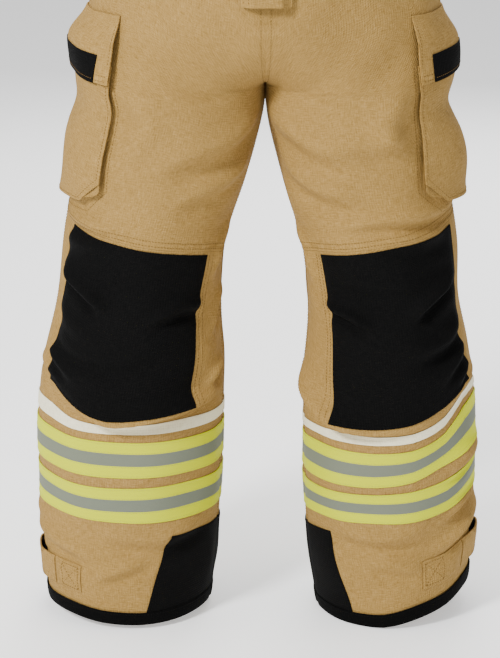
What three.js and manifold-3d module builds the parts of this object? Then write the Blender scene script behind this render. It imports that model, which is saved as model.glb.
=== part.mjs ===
// Firefighter's bunker pants: a standing pair of turnout trousers, in millimetres.
// +Z is up, the front faces -Y and the wearer's left leg is on +X. Both hems stand on Z = 0.
import * as THREE from 'three';
import { mergeVertices } from 'three/addons/utils/BufferGeometryUtils.js';
import Module from 'manifold-3d';

const wasm = await Module();
wasm.setup();

// ---------- driving dimensions ----------
const INSEAM = 740; // crotch above the floor
const RISE = 240; // crotch to the waist seam
const WAISTBAND_HEIGHT = 50;
const HIP_HALF_WIDTH = 236;
const HIP_HALF_DEPTH = 144;
const HIP_SET_BACK = 7.5; // the seat stands this far behind the legs' centre line
const WAIST_HALF_WIDTH = HIP_HALF_WIDTH - 32;
const THIGH_HALF_WIDTH = HIP_HALF_WIDTH / 2 + 2; // at the crotch, where the two legs touch
const KNEE_SEAM_INNER = 536;
const KNEE_SEAM_OUTER = 572;
const TOE_OUT = 12; // degrees that each leg is turned out at the hem

const CLOTH = 1.5; // outer shell thickness
const OVERLAY = 1.1; // patch and tape thickness
const SEAM_GAP = 0.6; // between two panels of one layer
const LAYER_GAP = 1.2; // between a layer and the layer that it lies on
const LINER = 1.8;
const FOAM = 3.2;
const TAPE_CLOTH = 0.9; // hook tape and loop tape

const BAND_WIDTH = 50; // high-visibility tape
const UPPER_TAPE_BOTTOM = 222;
const LOWER_TAPE_BOTTOM = 157;
const CREAM_WIDTH = 11;
const CREAM_BOTTOM = 283;
const PATCH_BOTTOM = 308; // knee reinforcement
const BINDING_HEIGHT = 20;
const KICK_HEIGHT = 112;

const CUFF_STRAP_BOTTOM = 38;
const CUFF_STRAP_WIDTH = 42;
const CUFF_ANCHOR_START = 23; // angles round the leg, in degrees
const CUFF_ANCHOR_END = 46;
const CUFF_STRAP_END = 126;

const POCKET_WIDTH = 184;
const POCKET_BELOW_CROTCH = 150;
const POCKET_HEIGHT = 200;
const POCKET_TOP_DIP = 16; // how much lower the pocket's mouth is at its ends
const POCKET_CORNER = 30;
const POCKET_DEPTH_TOP = 13;
const POCKET_DEPTH_BOTTOM = 24;
const FLAP_WIDTH = 190;
const FLAP_HINGE_ABOVE_CROTCH = 98;
const FLAP_LAP = 38; // how far the flap's front corner reaches below the pocket's mouth
const FLAP_SLANT = 20; // how much higher its rear corner is
const FLAP_PATCH_WIDTH = 150;
const FLAP_PATCH_HEIGHT = 34;

const FLY_BOTTOM = 872;
const ZIP_TAPE_WIDTH = 15;
const ZIP_BEAD_WIDTH = 2.6;
const ZIP_BEAD_PROUD = 2;
const SLIDER_LENGTH = 15;
const SLIDER_WALL = 1.6;
const PULL_LENGTH = 26;
const PULL_TIP = 10; // degrees that the pull can tip under the closed storm flap
const FLY_FLAP_HALF_WIDTH = 32;
const BUTTON_RADIUS = 9;
const SNAP_RADIUS = 7.5;
const STRAP_WIDTH = 25;
const STRAP_THICKNESS = 1.8;

// ---------- heights that follow ----------
const WAIST_SEAM = INSEAM + RISE;
const TOP = WAIST_SEAM + WAISTBAND_HEIGHT;
const CALF_HEIGHT = UPPER_TAPE_BOTTOM + 5;
const KNEE_LOW = KNEE_SEAM_INNER - 96;
const KNEE_HIGH = KNEE_SEAM_INNER + (INSEAM - KNEE_SEAM_INNER) * 0.36;
const THIGH_HEIGHT = INSEAM - 64;
const CROTCH_BLEND = 100; // height over which the legs become the hips
const HIP_HEIGHT = INSEAM + 60;

// leg sections: height, centre line from the middle, half width, half depth
const LEG_SECTIONS = [
  [0, 182, 108, 105],
  [CALF_HEIGHT, 175, 122, 112],
  [KNEE_LOW, 164, 106, 107],
  [KNEE_HIGH, 139, 109, 112],
  [THIGH_HEIGHT, THIGH_HALF_WIDTH + 11, THIGH_HALF_WIDTH - 5, 115],
  [INSEAM, THIGH_HALF_WIDTH, THIGH_HALF_WIDTH, 115],
];
// hip sections: height, half width, half depth
const HIP_SECTIONS = [
  [INSEAM, HIP_HALF_WIDTH, HIP_HALF_DEPTH],
  [HIP_HEIGHT, HIP_HALF_WIDTH, HIP_HALF_DEPTH],
  [HIP_HEIGHT + 60, HIP_HALF_WIDTH - 10, HIP_HALF_DEPTH],
  [WAIST_SEAM, WAIST_HALF_WIDTH + 4, HIP_HALF_DEPTH],
  [TOP, WAIST_HALF_WIDTH, HIP_HALF_DEPTH],
];

const RADIANS = Math.PI / 180;
const mix = (from, to, share) => from + (to - from) * share;
const clamp = (x) => Math.min(1, Math.max(0, x));
const ease = (x) => clamp(x) * clamp(x) * (3 - 2 * clamp(x));

/** The section table read at one height, with a smooth curve through its rows. */
function sectionAt(table, z) {
  const last = table.length - 1;
  let row = 0;
  while (row < last - 1 && z > table[row + 1][0]) row += 1;
  const span = table[row + 1][0] - table[row][0];
  const t = (z - table[row][0]) / span;
  const slope = (i, column) => {
    const before = table[Math.max(i - 1, 0)];
    const after = table[Math.min(i + 1, last)];
    return (after[column] - before[column]) / (after[0] - before[0]);
  };
  const columns = table[0].slice(1).map((_, i) => i + 1);
  return columns.map((column) => {
    const from = table[row][column];
    const to = table[row + 1][column];
    const startSlope = slope(row, column) * span;
    const endSlope = slope(row + 1, column) * span;
    const turn = 2 * (from - to) + startSlope + endSlope;
    const bend = 3 * (to - from) - 2 * startSlope - endSlope;
    return from + t * (startSlope + t * (bend + t * turn));
  });
}

/**
 * The outer shell's surface on the wearer's left half. The angle goes round the leg: -90 inseam,
 * 0 front, 90 outseam, 180 back, 270 inseam again. Above the crotch -90 is the front centre seam
 * and 270 the back centre seam. Offset is outwards.
 */
function shellPoint(angle, z, offset = 0) {
  const [centre, halfWidth, halfDepth] = sectionAt(LEG_SECTIONS, Math.min(z, INSEAM));
  const turned = (angle + TOE_OUT * clamp(1 - z / INSEAM)) * RADIANS;
  const leg = new THREE.Vector2(
    centre + halfWidth * Math.sin(turned),
    -halfDepth * Math.cos(turned),
  );
  const legAlong = new THREE.Vector2(
    halfWidth * Math.cos(turned),
    halfDepth * Math.sin(turned),
  );
  if (z > INSEAM) {
    const [hipWidth, hipDepth] = sectionAt(HIP_SECTIONS, z);
    const half = ((angle + 90) / 2) * RADIANS;
    const rise = clamp((z - INSEAM) / CROTCH_BLEND);
    const saddle = Math.sqrt(rise * (2 - rise)); // a U-shaped crotch seam
    const share = mix(ease(rise), saddle, Math.cos(half) ** 2);
    const hip = new THREE.Vector2(hipWidth * Math.sin(half), HIP_SET_BACK - hipDepth * Math.cos(half));
    leg.lerp(hip, share);
    const hipAlong = new THREE.Vector2(hipWidth * Math.cos(half), hipDepth * Math.sin(half));
    legAlong.lerp(hipAlong.multiplyScalar(0.5), share);
  }
  legAlong.normalize();
  const x = leg.x + legAlong.y * offset;
  const y = leg.y - legAlong.x * offset;
  return new THREE.Vector3(x + SEAM_GAP / 2, y, z);
}

/** The angle at a distance along the cloth from the outseam: towards the front is negative. */
function angleAt(distance, z) {
  const step = Math.sign(distance) || 1;
  let angle = 90;
  let left = Math.abs(distance);
  let here = shellPoint(angle, z);
  while (left > 0) {
    const next = shellPoint(angle + step, z);
    const length = here.distanceTo(next);
    angle += step * Math.min(1, left / length);
    left -= length;
    here = next;
  }
  return angle;
}

const beside = (distance, z, offset) => shellPoint(angleAt(distance, z), z, offset);

// ---------- making solids ----------
/** Keeps only the corners of a geometry, merged, with its faces turned outwards. */
function closed(geometry) {
  const plain = geometry.clone();
  plain.deleteAttribute('normal');
  plain.deleteAttribute('uv');
  const solid = mergeVertices(plain);
  const index = solid.index;
  const [a, b, c] = [new THREE.Vector3(), new THREE.Vector3(), new THREE.Vector3()];
  let volume = 0;
  for (let i = 0; i < index.count; i += 3) {
    a.fromBufferAttribute(solid.attributes.position, index.getX(i));
    b.fromBufferAttribute(solid.attributes.position, index.getX(i + 1));
    c.fromBufferAttribute(solid.attributes.position, index.getX(i + 2));
    volume += a.dot(b.clone().cross(c));
  }
  if (volume < 0) {
    for (let i = 0; i < index.count; i += 3) {
      const first = index.getX(i);
      index.setX(i, index.getX(i + 1));
      index.setX(i + 1, first);
    }
  }
  return solid;
}

/** A cloth sheet: a flat slab of cells whose corners go to place(across, up, outer). */
function drape(columns, rows, place) {
  const slab = new THREE.BoxGeometry(1, 1, 1, columns, rows, 1);
  const corners = slab.attributes.position;
  for (let i = 0; i < corners.count; i += 1) {
    const across = Math.round((corners.getX(i) + 0.5) * columns);
    const up = Math.round((corners.getY(i) + 0.5) * rows);
    const p = place(across / columns, up / rows, corners.getZ(i) > 0);
    corners.setXYZ(i, p.x, p.y, p.z);
  }
  return closed(slab);
}

/** A sheet between two angles and over a list of heights (numbers, or functions of the angle). */
function wrap(startAngle, endAngle, columns, heights, inner, thickness) {
  return drape(columns, heights.length - 1, (across, up, outer) => {
    const angle = mix(startAngle, endAngle, across);
    const height = heights[Math.round(up * (heights.length - 1))];
    const z = typeof height === 'function' ? height(angle) : height;
    return shellPoint(angle, z, outer ? inner + thickness : inner);
  });
}

const steps = (from, to, count) =>
  Array.from({ length: count + 1 }, (_, i) => mix(from, to, i / count));

function mirrored(geometry) {
  const other = geometry.clone();
  other.scale(-1, 1, 1);
  return closed(other);
}

function toManifold(geometry) {
  const plain = closed(geometry);
  return new wasm.Manifold(new wasm.Mesh({
    numProp: 3,
    vertProperties: new Float32Array(plain.attributes.position.array),
    triVerts: new Uint32Array(plain.index.array),
  }));
}

function fromManifold(solid) {
  const mesh = solid.getMesh();
  const geometry = new THREE.BufferGeometry();
  geometry.setAttribute('position', new THREE.BufferAttribute(mesh.vertProperties, 3));
  geometry.setIndex(new THREE.BufferAttribute(mesh.triVerts, 1));
  return geometry;
}

function joined(...geometries) {
  const [first, ...rest] = geometries.map(toManifold);
  return fromManifold(rest.reduce((whole, piece) => whole.add(piece), first));
}

function block(size, centre) {
  return new THREE.BoxGeometry(size.x, size.y, size.z).translate(centre.x, centre.y, centre.z);
}

/** A round fastener turned about its own axis, with its foot at a point and its axis along out. */
function turnedAt(profile, foot, out) {
  const points = profile.map(([radius, height]) => new THREE.Vector2(radius, height));
  const geometry = new THREE.LatheGeometry(points, 20);
  const turn = new THREE.Quaternion().setFromUnitVectors(new THREE.Vector3(0, 1, 0), out);
  geometry.applyQuaternion(turn);
  return geometry.translate(foot.x, foot.y, foot.z);
}

/** The horizontal outward direction of the shell at one angle and height. */
function outwardAt(angle, z) {
  return shellPoint(angle, z, 1).sub(shellPoint(angle, z, 0)).normalize();
}

// ---------- materials ----------
const cloth = (color, roughness = 0.9) => new THREE.MeshStandardMaterial({ color, roughness });
const metal = (color) => new THREE.MeshStandardMaterial({ color, roughness: 0.35, metalness: 0.9 });
const TAN = 0xb89e6c;
const BLACK = 0x1b1a19;
const LIME = 0xdfe615;
const CREAM = 0xe2dcc6;
const LINER_COLOUR = 0xc9a23c;

// ---------- the layers on one leg, from the wearer outwards ----------
const FOAM_INNER = -CLOTH - LAYER_GAP - FOAM;
const LINER_INNER = FOAM_INNER - 3 * LAYER_GAP - LINER;
const GAP_ANGLE = 0.25; // half of a side seam's gap, in degrees
const kneeSeam = (angle) => mix(KNEE_SEAM_INNER, KNEE_SEAM_OUTER, (angle + 90) / 180);
const BINDING_WALL = 1.2;
const LEG_FOOT = BINDING_WALL + SEAM_GAP;
const CROTCH_ROWS = [0, 0.09, 0.28, 0.6, 1].map((share) => INSEAM + CROTCH_BLEND * share);
const HIP_ROWS = [...CROTCH_ROWS, ...steps(INSEAM + CROTCH_BLEND, WAIST_SEAM - SEAM_GAP, 3).slice(1)];

const LEG_ROWS = steps(LEG_FOOT, INSEAM, 12).slice(0, 12);

function shellPanels() {
  const thighRows = steps(0, 1, 4).slice(0, 4).map((share) => (angle) =>
    mix(kneeSeam(angle) + SEAM_GAP, INSEAM, share));
  const shinRows = steps(0, 1, 9).map((share) => (angle) => mix(LEG_FOOT, kneeSeam(angle), share));
  const backRows = [...LEG_ROWS, ...HIP_ROWS];
  const [front, side, back] = [-90 + GAP_ANGLE, 90, 270 - GAP_ANGLE];
  return {
    thigh_front_panel: wrap(front, side - GAP_ANGLE, 13, [...thighRows, ...HIP_ROWS], -CLOTH, CLOTH),
    knee_front_panel: wrap(front, side - GAP_ANGLE, 12, shinRows, -CLOTH, CLOTH),
    back_panel: wrap(side + GAP_ANGLE, back, 12, backRows, -CLOTH, CLOTH),
  };
}

function liner() {
  const rows = [BINDING_HEIGHT + 14, ...LEG_ROWS.slice(2), ...HIP_ROWS];
  return wrap(-90 + GAP_ANGLE, 270 - GAP_ANGLE, 24, rows, LINER_INNER, LINER);
}

function kneeParts() {
  const seamBelow = (angle) => kneeSeam(angle) - 4;
  const patchRows = steps(0, 1, 5).map((share) => (angle) =>
    mix(PATCH_BOTTOM, seamBelow(angle), share));
  return {
    knee_patch: wrap(-51, 60, 12, patchRows, LAYER_GAP, OVERLAY),
    knee_foam: wrap(-45, 55, 8, steps(PATCH_BOTTOM + 14, KNEE_SEAM_INNER - 14, 4), FOAM_INNER, FOAM),
  };
}

function bands() {
  const round = (bottom, height) =>
    wrap(-88, 271.5, 24, [bottom, bottom + height], LAYER_GAP, OVERLAY);
  return {
    cream_band: round(CREAM_BOTTOM, CREAM_WIDTH),
    trim_upper: round(UPPER_TAPE_BOTTOM, BAND_WIDTH),
    trim_lower: round(LOWER_TAPE_BOTTOM, BAND_WIDTH),
  };
}

/** The binding folds round the shell's lower edge: up the outside, under it and up the inside. */
function hemBinding() {
  const leaf = LAYER_GAP;
  const inner = -CLOTH - leaf;
  const fold = [
    [leaf + BINDING_WALL, BINDING_HEIGHT, leaf, BINDING_HEIGHT],
    [leaf + BINDING_WALL, 0, leaf, BINDING_WALL],
    [inner - BINDING_WALL, 0, inner, BINDING_WALL],
    [inner - BINDING_WALL, BINDING_HEIGHT, inner, BINDING_HEIGHT],
  ];
  return drape(24, 3, (across, up, outer) => {
    const [outerOffset, outerZ, innerOffset, innerZ] = fold[Math.round(up * 3)];
    const angle = mix(-88, 271.5, across);
    return outer ? shellPoint(angle, outerZ, outerOffset) : shellPoint(angle, innerZ, innerOffset);
  });
}

/** The kick patch lies over the inner ankle; its front and rear edges slant outwards at the top. */
function kickPatch() {
  const bottom = BINDING_HEIGHT + SEAM_GAP;
  return drape(9, 3, (across, up, outer) => {
    const front = mix(-25, -37, up);
    const rear = mix(-155, -143, up);
    const z = mix(bottom, KICK_HEIGHT + bottom, up);
    return shellPoint(mix(rear, front, across), z, LAYER_GAP + (outer ? OVERLAY : 0));
  });
}

function cuffParts() {
  const low = CUFF_STRAP_BOTTOM;
  const high = CUFF_STRAP_BOTTOM + CUFF_STRAP_WIDTH;
  const loop = LAYER_GAP;
  const hook = loop + TAPE_CLOTH + LAYER_GAP;
  const strap = hook + TAPE_CLOTH + LAYER_GAP;
  const tapeStart = CUFF_STRAP_END - 46;
  const heights = [low, high];
  const freeStrap = drape(9, 1, (across, up, outer) => {
    const angle = mix(CUFF_ANCHOR_END + GAP_ANGLE * 2, CUFF_STRAP_END, across);
    const rise = mix(LAYER_GAP, strap, ease(across * 4));
    return shellPoint(angle, mix(low, high, up), rise + (outer ? CLOTH : 0));
  });
  return {
    cuff_strap_anchor: wrap(CUFF_ANCHOR_START, CUFF_ANCHOR_END, 3, heights, LAYER_GAP, CLOTH),
    cuff_strap: freeStrap,
    cuff_strap_hook: wrap(tapeStart, CUFF_STRAP_END - 2, 5, [low + 4, high - 4], hook, TAPE_CLOTH),
    cuff_loop_patch: wrap(tapeStart - 20, CUFF_STRAP_END + 14, 9, [low - 2, high + 2], loop, TAPE_CLOTH),
  };
}

// ---------- the cargo pocket on the outseam ----------
const POCKET_BOTTOM = INSEAM - POCKET_BELOW_CROTCH;
const POCKET_MOUTH = POCKET_BOTTOM + POCKET_HEIGHT;
const FLAP_HINGE = INSEAM + FLAP_HINGE_ABOVE_CROTCH;
const POCKET_COLUMNS = 10;
const pocketDepth = (z) =>
  mix(POCKET_DEPTH_BOTTOM, POCKET_DEPTH_TOP, clamp((z - POCKET_BOTTOM) / POCKET_HEIGHT));
const mouthAt = (distance) => POCKET_MOUTH - POCKET_TOP_DIP * (distance / (POCKET_WIDTH / 2)) ** 2;

function pocketFace() {
  const half = POCKET_WIDTH / 2;
  const levels = [0, POCKET_CORNER, 80, 125, 165];
  return drape(POCKET_COLUMNS, levels.length, (across, up, outer) => {
    const level = Math.round(up * levels.length);
    const reach = level === 0 ? half - POCKET_CORNER : half;
    const distance = mix(-reach, reach, across);
    const z = level === levels.length ? mouthAt(distance) : POCKET_BOTTOM + levels[level];
    return beside(distance, z, pocketDepth(z) + (outer ? CLOTH : 0));
  });
}

/** The bellows strip stands on the shell round three sides of the pocket. */
function pocketGusset() {
  const half = POCKET_WIDTH / 2;
  const outline = (inset) => {
    const side = half - inset;
    const low = POCKET_BOTTOM + inset;
    const shoulder = POCKET_BOTTOM + POCKET_CORNER;
    const foot = half - POCKET_CORNER;
    const top = mouthAt(half) - SEAM_GAP;
    const down = steps(top, shoulder, 5).map((z) => [-side, z]);
    const bottom = steps(-foot, foot, POCKET_COLUMNS).map((distance) => [distance, low]);
    return [...down, ...bottom, ...down.map(([x, z]) => [-x, z]).reverse()];
  };
  const outside = outline(0.5);
  const inside = outline(0.5 + CLOTH);
  const last = outside.length - 1;
  return drape(last, 1, (across, up, outer) => {
    const [distance, z] = (outer ? outside : inside)[Math.round(across * last)];
    return beside(distance, z, up > 0.5 ? pocketDepth(z) - LAYER_GAP - SEAM_GAP : LAYER_GAP + SEAM_GAP);
  });
}

const TAPE_ON_FACE = CLOTH + LAYER_GAP;
const HOOK_ON_FLAP = TAPE_ON_FACE + TAPE_CLOTH + LAYER_GAP;
const FLAP_OUT = HOOK_ON_FLAP + TAPE_CLOTH + LAYER_GAP;
const flapBottom = (distance) =>
  mouthAt(POCKET_WIDTH / 2) - FLAP_LAP + POCKET_TOP_DIP + FLAP_SLANT * (distance / FLAP_WIDTH + 0.5);
const shoulderHeight = mix(POCKET_MOUTH, FLAP_HINGE, 0.22);

function flapParts() {
  const half = FLAP_WIDTH / 2;
  const flap = drape(POCKET_COLUMNS, 3, (across, up, outer) => {
    const distance = mix(-half, half, across);
    const level = Math.round(up * 3);
    const low = flapBottom(distance);
    const z = [low, mix(low, shoulderHeight, 0.6), shoulderHeight, FLAP_HINGE][level];
    const out = level === 3 ? LAYER_GAP * 2 : pocketDepth(z) + FLAP_OUT;
    return beside(distance, z, out + (outer ? CLOTH : 0));
  });
  const strip = (width, bottomAt, height, out, thickness) =>
    drape(8, 1, (across, up, outer) => {
      const distance = mix(-width / 2, width / 2, across);
      const z = bottomAt(distance) + height * up;
      return beside(distance, z, pocketDepth(z) + out + (outer ? thickness : 0));
    });
  const tapeBottom = (distance) => flapBottom(distance) + 4;
  const patchOut = FLAP_OUT + CLOTH + LAYER_GAP;
  return {
    pocket_flap: flap,
    flap_patch: strip(FLAP_PATCH_WIDTH, flapBottom, FLAP_PATCH_HEIGHT, patchOut, OVERLAY),
    flap_hook_tape: strip(110, tapeBottom, 18, HOOK_ON_FLAP, TAPE_CLOTH),
    pocket_loop_tape: strip(116, tapeBottom, 18, TAPE_ON_FACE, TAPE_CLOTH),
  };
}

// ---------- waist ----------
const BAND_INNER = -CLOTH - LAYER_GAP;
const BAND_OUTER = 1.2;
const SIDE_STRAP_Z = WAIST_SEAM + WAISTBAND_HEIGHT / 2;

function waistParts() {
  const wide = shellPoint(90, WAIST_SEAM, BAND_OUTER).x + LAYER_GAP;
  const centre = wide + SLIDER_WALL + SEAM_GAP / 2 + STRAP_THICKNESS / 2;
  const strap = joined(
    block({ x: STRAP_THICKNESS, y: 104, z: STRAP_WIDTH }, { x: centre, y: -14, z: SIDE_STRAP_Z }),
    block({ x: STRAP_THICKNESS + 2, y: 6, z: STRAP_WIDTH }, { x: centre + 1, y: -63, z: SIDE_STRAP_Z }),
  );
  const hole = { x: STRAP_THICKNESS + SEAM_GAP, z: STRAP_WIDTH + SEAM_GAP };
  const ring = (grow) => [
    [-hole.x / 2 - grow, -hole.z / 2 - grow],
    [hole.x / 2 + grow, -hole.z / 2 - grow],
    [hole.x / 2 + grow, hole.z / 2 + grow],
    [-hole.x / 2 - grow, hole.z / 2 + grow],
  ].map(([x, y]) => new THREE.Vector2(x, y));
  const frame = new THREE.Shape(ring(SLIDER_WALL));
  frame.holes.push(new THREE.Path(ring(0)));
  const buckle = new THREE.ExtrudeGeometry(frame, { depth: 14, bevelEnabled: false });
  buckle.rotateX(Math.PI / 2).translate(centre, 7, SIDE_STRAP_Z);
  return {
    waistband: wrap(-90 + GAP_ANGLE, 270 - GAP_ANGLE, 24, [WAIST_SEAM, TOP], BAND_INNER,
      BAND_OUTER - BAND_INNER),
    waist_strap: strap,
    waist_buckle: buckle,
  };
}

/** Suspender button: a round head on a short shank. */
function suspenderButton(angle) {
  const z = TOP - 17;
  const profile = [[0, 0], [3.5, 0], [3.5, 3], [BUTTON_RADIUS, 3], [BUTTON_RADIUS, 5], [0, 6]];
  return turnedAt(profile, shellPoint(angle, z, BAND_OUTER + SEAM_GAP), outwardAt(angle, z));
}

// ---------- fly, on the flat front between the two halves ----------
const FRONT = HIP_SET_BACK - HIP_HALF_DEPTH; // the shell's outer face at the front centre
const FLY_TOP = WAIST_SEAM - 4;
const TAPE_FACE = FRONT - LAYER_GAP - OVERLAY;
const BEAD_FACE = TAPE_FACE - ZIP_BEAD_PROUD;
const SLIDER_TOP = FLY_TOP - 4;
const SLIDER_FACE = BEAD_FACE - SEAM_GAP - SLIDER_WALL;
const PIN_RADIUS = 0.8;
const PULL_THICKNESS = 1.6;
const PULL_WIDTH = 4.4;
const LUG_REACH = 3.4;
const PIN_OUT = 2;
const pin = { y: SLIDER_FACE - PIN_OUT, z: SLIDER_TOP - 4 };
// the storm flap stands in front of the slider and leaves its pull room to tip
const FLAP_CLEAR = PIN_OUT + PULL_LENGTH * Math.sin(PULL_TIP * RADIANS) + PULL_THICKNESS + SEAM_GAP;

function zipTape() {
  const outline = [
    [SEAM_GAP / 2, FRONT - LAYER_GAP],
    [SEAM_GAP / 2, BEAD_FACE],
    [SEAM_GAP / 2 + ZIP_BEAD_WIDTH, BEAD_FACE],
    [SEAM_GAP / 2 + ZIP_BEAD_WIDTH, TAPE_FACE],
    [ZIP_TAPE_WIDTH, TAPE_FACE],
    [ZIP_TAPE_WIDTH, FRONT - LAYER_GAP],
  ].map(([x, y]) => new THREE.Vector2(x, y));
  const length = FLY_TOP - FLY_BOTTOM;
  const tape = new THREE.ExtrudeGeometry(new THREE.Shape(outline), { depth: length, bevelEnabled: false });
  return tape.translate(0, 0, FLY_BOTTOM);
}

function zipSlider() {
  const inside = ZIP_BEAD_WIDTH + SEAM_GAP * 1.5;
  const middle = SLIDER_TOP - SLIDER_LENGTH / 2;
  const rear = TAPE_FACE - SEAM_GAP;
  const depth = rear - SLIDER_FACE;
  const plate = block(
    { x: 2 * (inside + SLIDER_WALL), y: SLIDER_WALL, z: SLIDER_LENGTH },
    { x: 0, y: SLIDER_FACE + SLIDER_WALL / 2, z: middle },
  );
  const flange = (side) => block(
    { x: SLIDER_WALL, y: depth, z: SLIDER_LENGTH },
    { x: side * (inside + SLIDER_WALL / 2), y: (rear + SLIDER_FACE) / 2, z: middle },
  );
  const lug = (side) => block(
    { x: 1.4, y: LUG_REACH, z: 4.4 },
    { x: side * 3.4, y: SLIDER_FACE - LUG_REACH / 2 + 0.1, z: pin.z },
  );
  const bar = new THREE.CylinderGeometry(PIN_RADIUS, PIN_RADIUS, 6.8, 12);
  bar.rotateZ(Math.PI / 2).translate(0, pin.y, pin.z);
  return joined(plate, flange(-1), flange(1), lug(-1), lug(1), bar);
}

/** The pull: a flat tongue that hangs from an eye round the slider's pin. */
function zipPull() {
  const eye = new THREE.Shape();
  const outside = PIN_RADIUS + SEAM_GAP / 2 + 0.8;
  const back = PULL_THICKNESS / 2;
  const start = Math.acos(back / outside);
  eye.absarc(0, 0, outside, -Math.PI / 2 + (Math.PI / 2 - start), 1.5 * Math.PI - (Math.PI / 2 - start));
  eye.lineTo(-back, -PULL_LENGTH);
  eye.lineTo(back, -PULL_LENGTH);
  eye.closePath();
  eye.holes.push(new THREE.Path().absarc(0, 0, PIN_RADIUS + SEAM_GAP / 2, 0, 2 * Math.PI, true));
  const pull = new THREE.ExtrudeGeometry(eye, { depth: PULL_WIDTH, bevelEnabled: false, curveSegments: 8 });
  return pull.translate(0, 0, -PULL_WIDTH / 2).rotateX(Math.PI / 2).rotateZ(Math.PI / 2);
}

function flyFlap() {
  const half = FLY_FLAP_HALF_WIDTH;
  const proud = FRONT - SLIDER_FACE + FLAP_CLEAR;
  return drape(8, 4, (across, up, outer) => {
    const x = mix(-half, half, across);
    const z = mix(FLY_BOTTOM - 12, FLY_TOP, up);
    const edge = clamp((half - Math.abs(x)) / 14);
    const out = mix(LAYER_GAP + OVERLAY + LAYER_GAP, proud, ease(edge));
    return new THREE.Vector3(x, FRONT - out - (outer ? CLOTH : 0), z);
  });
}

const TAB_HALF = 34;
const TAB_Z = WAIST_SEAM + WAISTBAND_HEIGHT / 2;
const STUD_HEIGHT = 1.3;
const TAB_FACE = FRONT - BAND_OUTER - SEAM_GAP - STUD_HEIGHT - CLOTH;

function waistTab() {
  return new THREE.BoxGeometry(2 * TAB_HALF, CLOTH, 30, 2, 1, 1)
    .translate(0, TAB_FACE + CLOTH / 2, TAB_Z);
}

function snapCap() {
  const profile = [[0, 0], [SNAP_RADIUS, 0], [SNAP_RADIUS, 1], [SNAP_RADIUS - 2, 2.4], [0, 3]];
  const foot = new THREE.Vector3(-TAB_HALF + 12, TAB_FACE - SEAM_GAP / 2, TAB_Z);
  return turnedAt(profile, foot, new THREE.Vector3(0, -1, 0));
}

function snapStud() {
  const profile = [[0, 0], [SNAP_RADIUS, 0], [SNAP_RADIUS, 0.6], [2.4, 0.6], [2.4, STUD_HEIGHT], [0, STUD_HEIGHT]];
  const foot = new THREE.Vector3(-TAB_HALF + 12, FRONT - BAND_OUTER - SEAM_GAP, TAB_Z);
  return turnedAt(profile, foot, new THREE.Vector3(0, -1, 0));
}

// ---------- the whole garment ----------
const COLOURS = {
  liner: cloth(LINER_COLOUR),
  knee_patch: cloth(BLACK),
  knee_foam: cloth(0x8a8d90),
  cream_band: cloth(CREAM),
  trim_upper: cloth(LIME),
  trim_lower: cloth(LIME),
  kick_patch: cloth(BLACK),
  hem_binding: cloth(BLACK),
  cuff_strap_hook: cloth(BLACK),
  cuff_loop_patch: cloth(BLACK),
  flap_patch: cloth(BLACK),
  flap_hook_tape: cloth(BLACK),
  pocket_loop_tape: cloth(BLACK),
  waist_strap: cloth(BLACK),
  waist_buckle: cloth(BLACK, 0.4),
};

const group = new THREE.Group();

function add(name, geometry, material) {
  const mesh = new THREE.Mesh(closed(geometry), material.clone());
  mesh.name = name;
  group.add(mesh);
}

const halves = {
  ...shellPanels(),
  liner: liner(),
  ...kneeParts(),
  ...bands(),
  hem_binding: hemBinding(),
  kick_patch: kickPatch(),
  ...cuffParts(),
  pocket_face: pocketFace(),
  pocket_gusset: pocketGusset(),
  ...flapParts(),
  ...waistParts(),
};
for (const [name, geometry] of Object.entries(halves)) {
  const material = COLOURS[name] ?? cloth(TAN);
  add(`left_${name}`, geometry, material);
  add(`right_${name}`, mirrored(geometry), material);
}

add('zip_tape_left', zipTape(), cloth(BLACK));
add('zip_tape_right', mirrored(zipTape()), cloth(BLACK));
add('zip_slider', zipSlider(), metal(0xb08d4a));
add('zip_pull', zipPull().translate(0, pin.y, pin.z), metal(0xb08d4a));
add('fly_flap', flyFlap(), cloth(TAN));
add('waist_tab', waistTab(), cloth(TAN));
add('snap_cap', snapCap(), metal(0x9a9a98));
add('snap_stud', snapStud(), metal(0x9a9a98));
add('button_front_left', suspenderButton(-22), metal(0x6d6a66));
add('button_front_right', mirrored(suspenderButton(-22)), metal(0x6d6a66));
add('button_back_left', suspenderButton(228), metal(0x6d6a66));
add('button_back_right', mirrored(suspenderButton(228)), metal(0x6d6a66));

export default group;
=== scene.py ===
"""Firefighter's bunker pants: cloth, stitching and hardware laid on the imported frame, in metres."""
import math

import bmesh
import bpy
import numpy as np
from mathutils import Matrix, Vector


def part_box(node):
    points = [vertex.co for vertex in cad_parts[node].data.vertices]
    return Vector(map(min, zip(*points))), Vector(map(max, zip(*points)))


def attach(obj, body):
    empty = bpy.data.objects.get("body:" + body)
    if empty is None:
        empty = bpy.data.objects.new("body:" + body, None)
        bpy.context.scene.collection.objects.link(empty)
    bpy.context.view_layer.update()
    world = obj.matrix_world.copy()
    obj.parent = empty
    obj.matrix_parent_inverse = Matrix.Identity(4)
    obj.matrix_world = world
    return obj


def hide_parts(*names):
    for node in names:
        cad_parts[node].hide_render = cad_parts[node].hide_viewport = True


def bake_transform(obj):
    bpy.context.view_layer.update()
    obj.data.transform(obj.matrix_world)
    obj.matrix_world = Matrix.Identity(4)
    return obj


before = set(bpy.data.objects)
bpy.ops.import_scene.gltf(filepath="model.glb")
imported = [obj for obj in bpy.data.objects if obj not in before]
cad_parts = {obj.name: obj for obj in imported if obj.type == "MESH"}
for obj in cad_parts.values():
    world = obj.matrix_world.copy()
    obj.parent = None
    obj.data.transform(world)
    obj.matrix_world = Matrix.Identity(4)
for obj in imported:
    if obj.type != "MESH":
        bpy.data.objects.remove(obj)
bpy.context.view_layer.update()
bpy.ops.object.select_all(action="DESELECT")

MM = 0.001
SIDES = {"left": 1, "right": -1}

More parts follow.
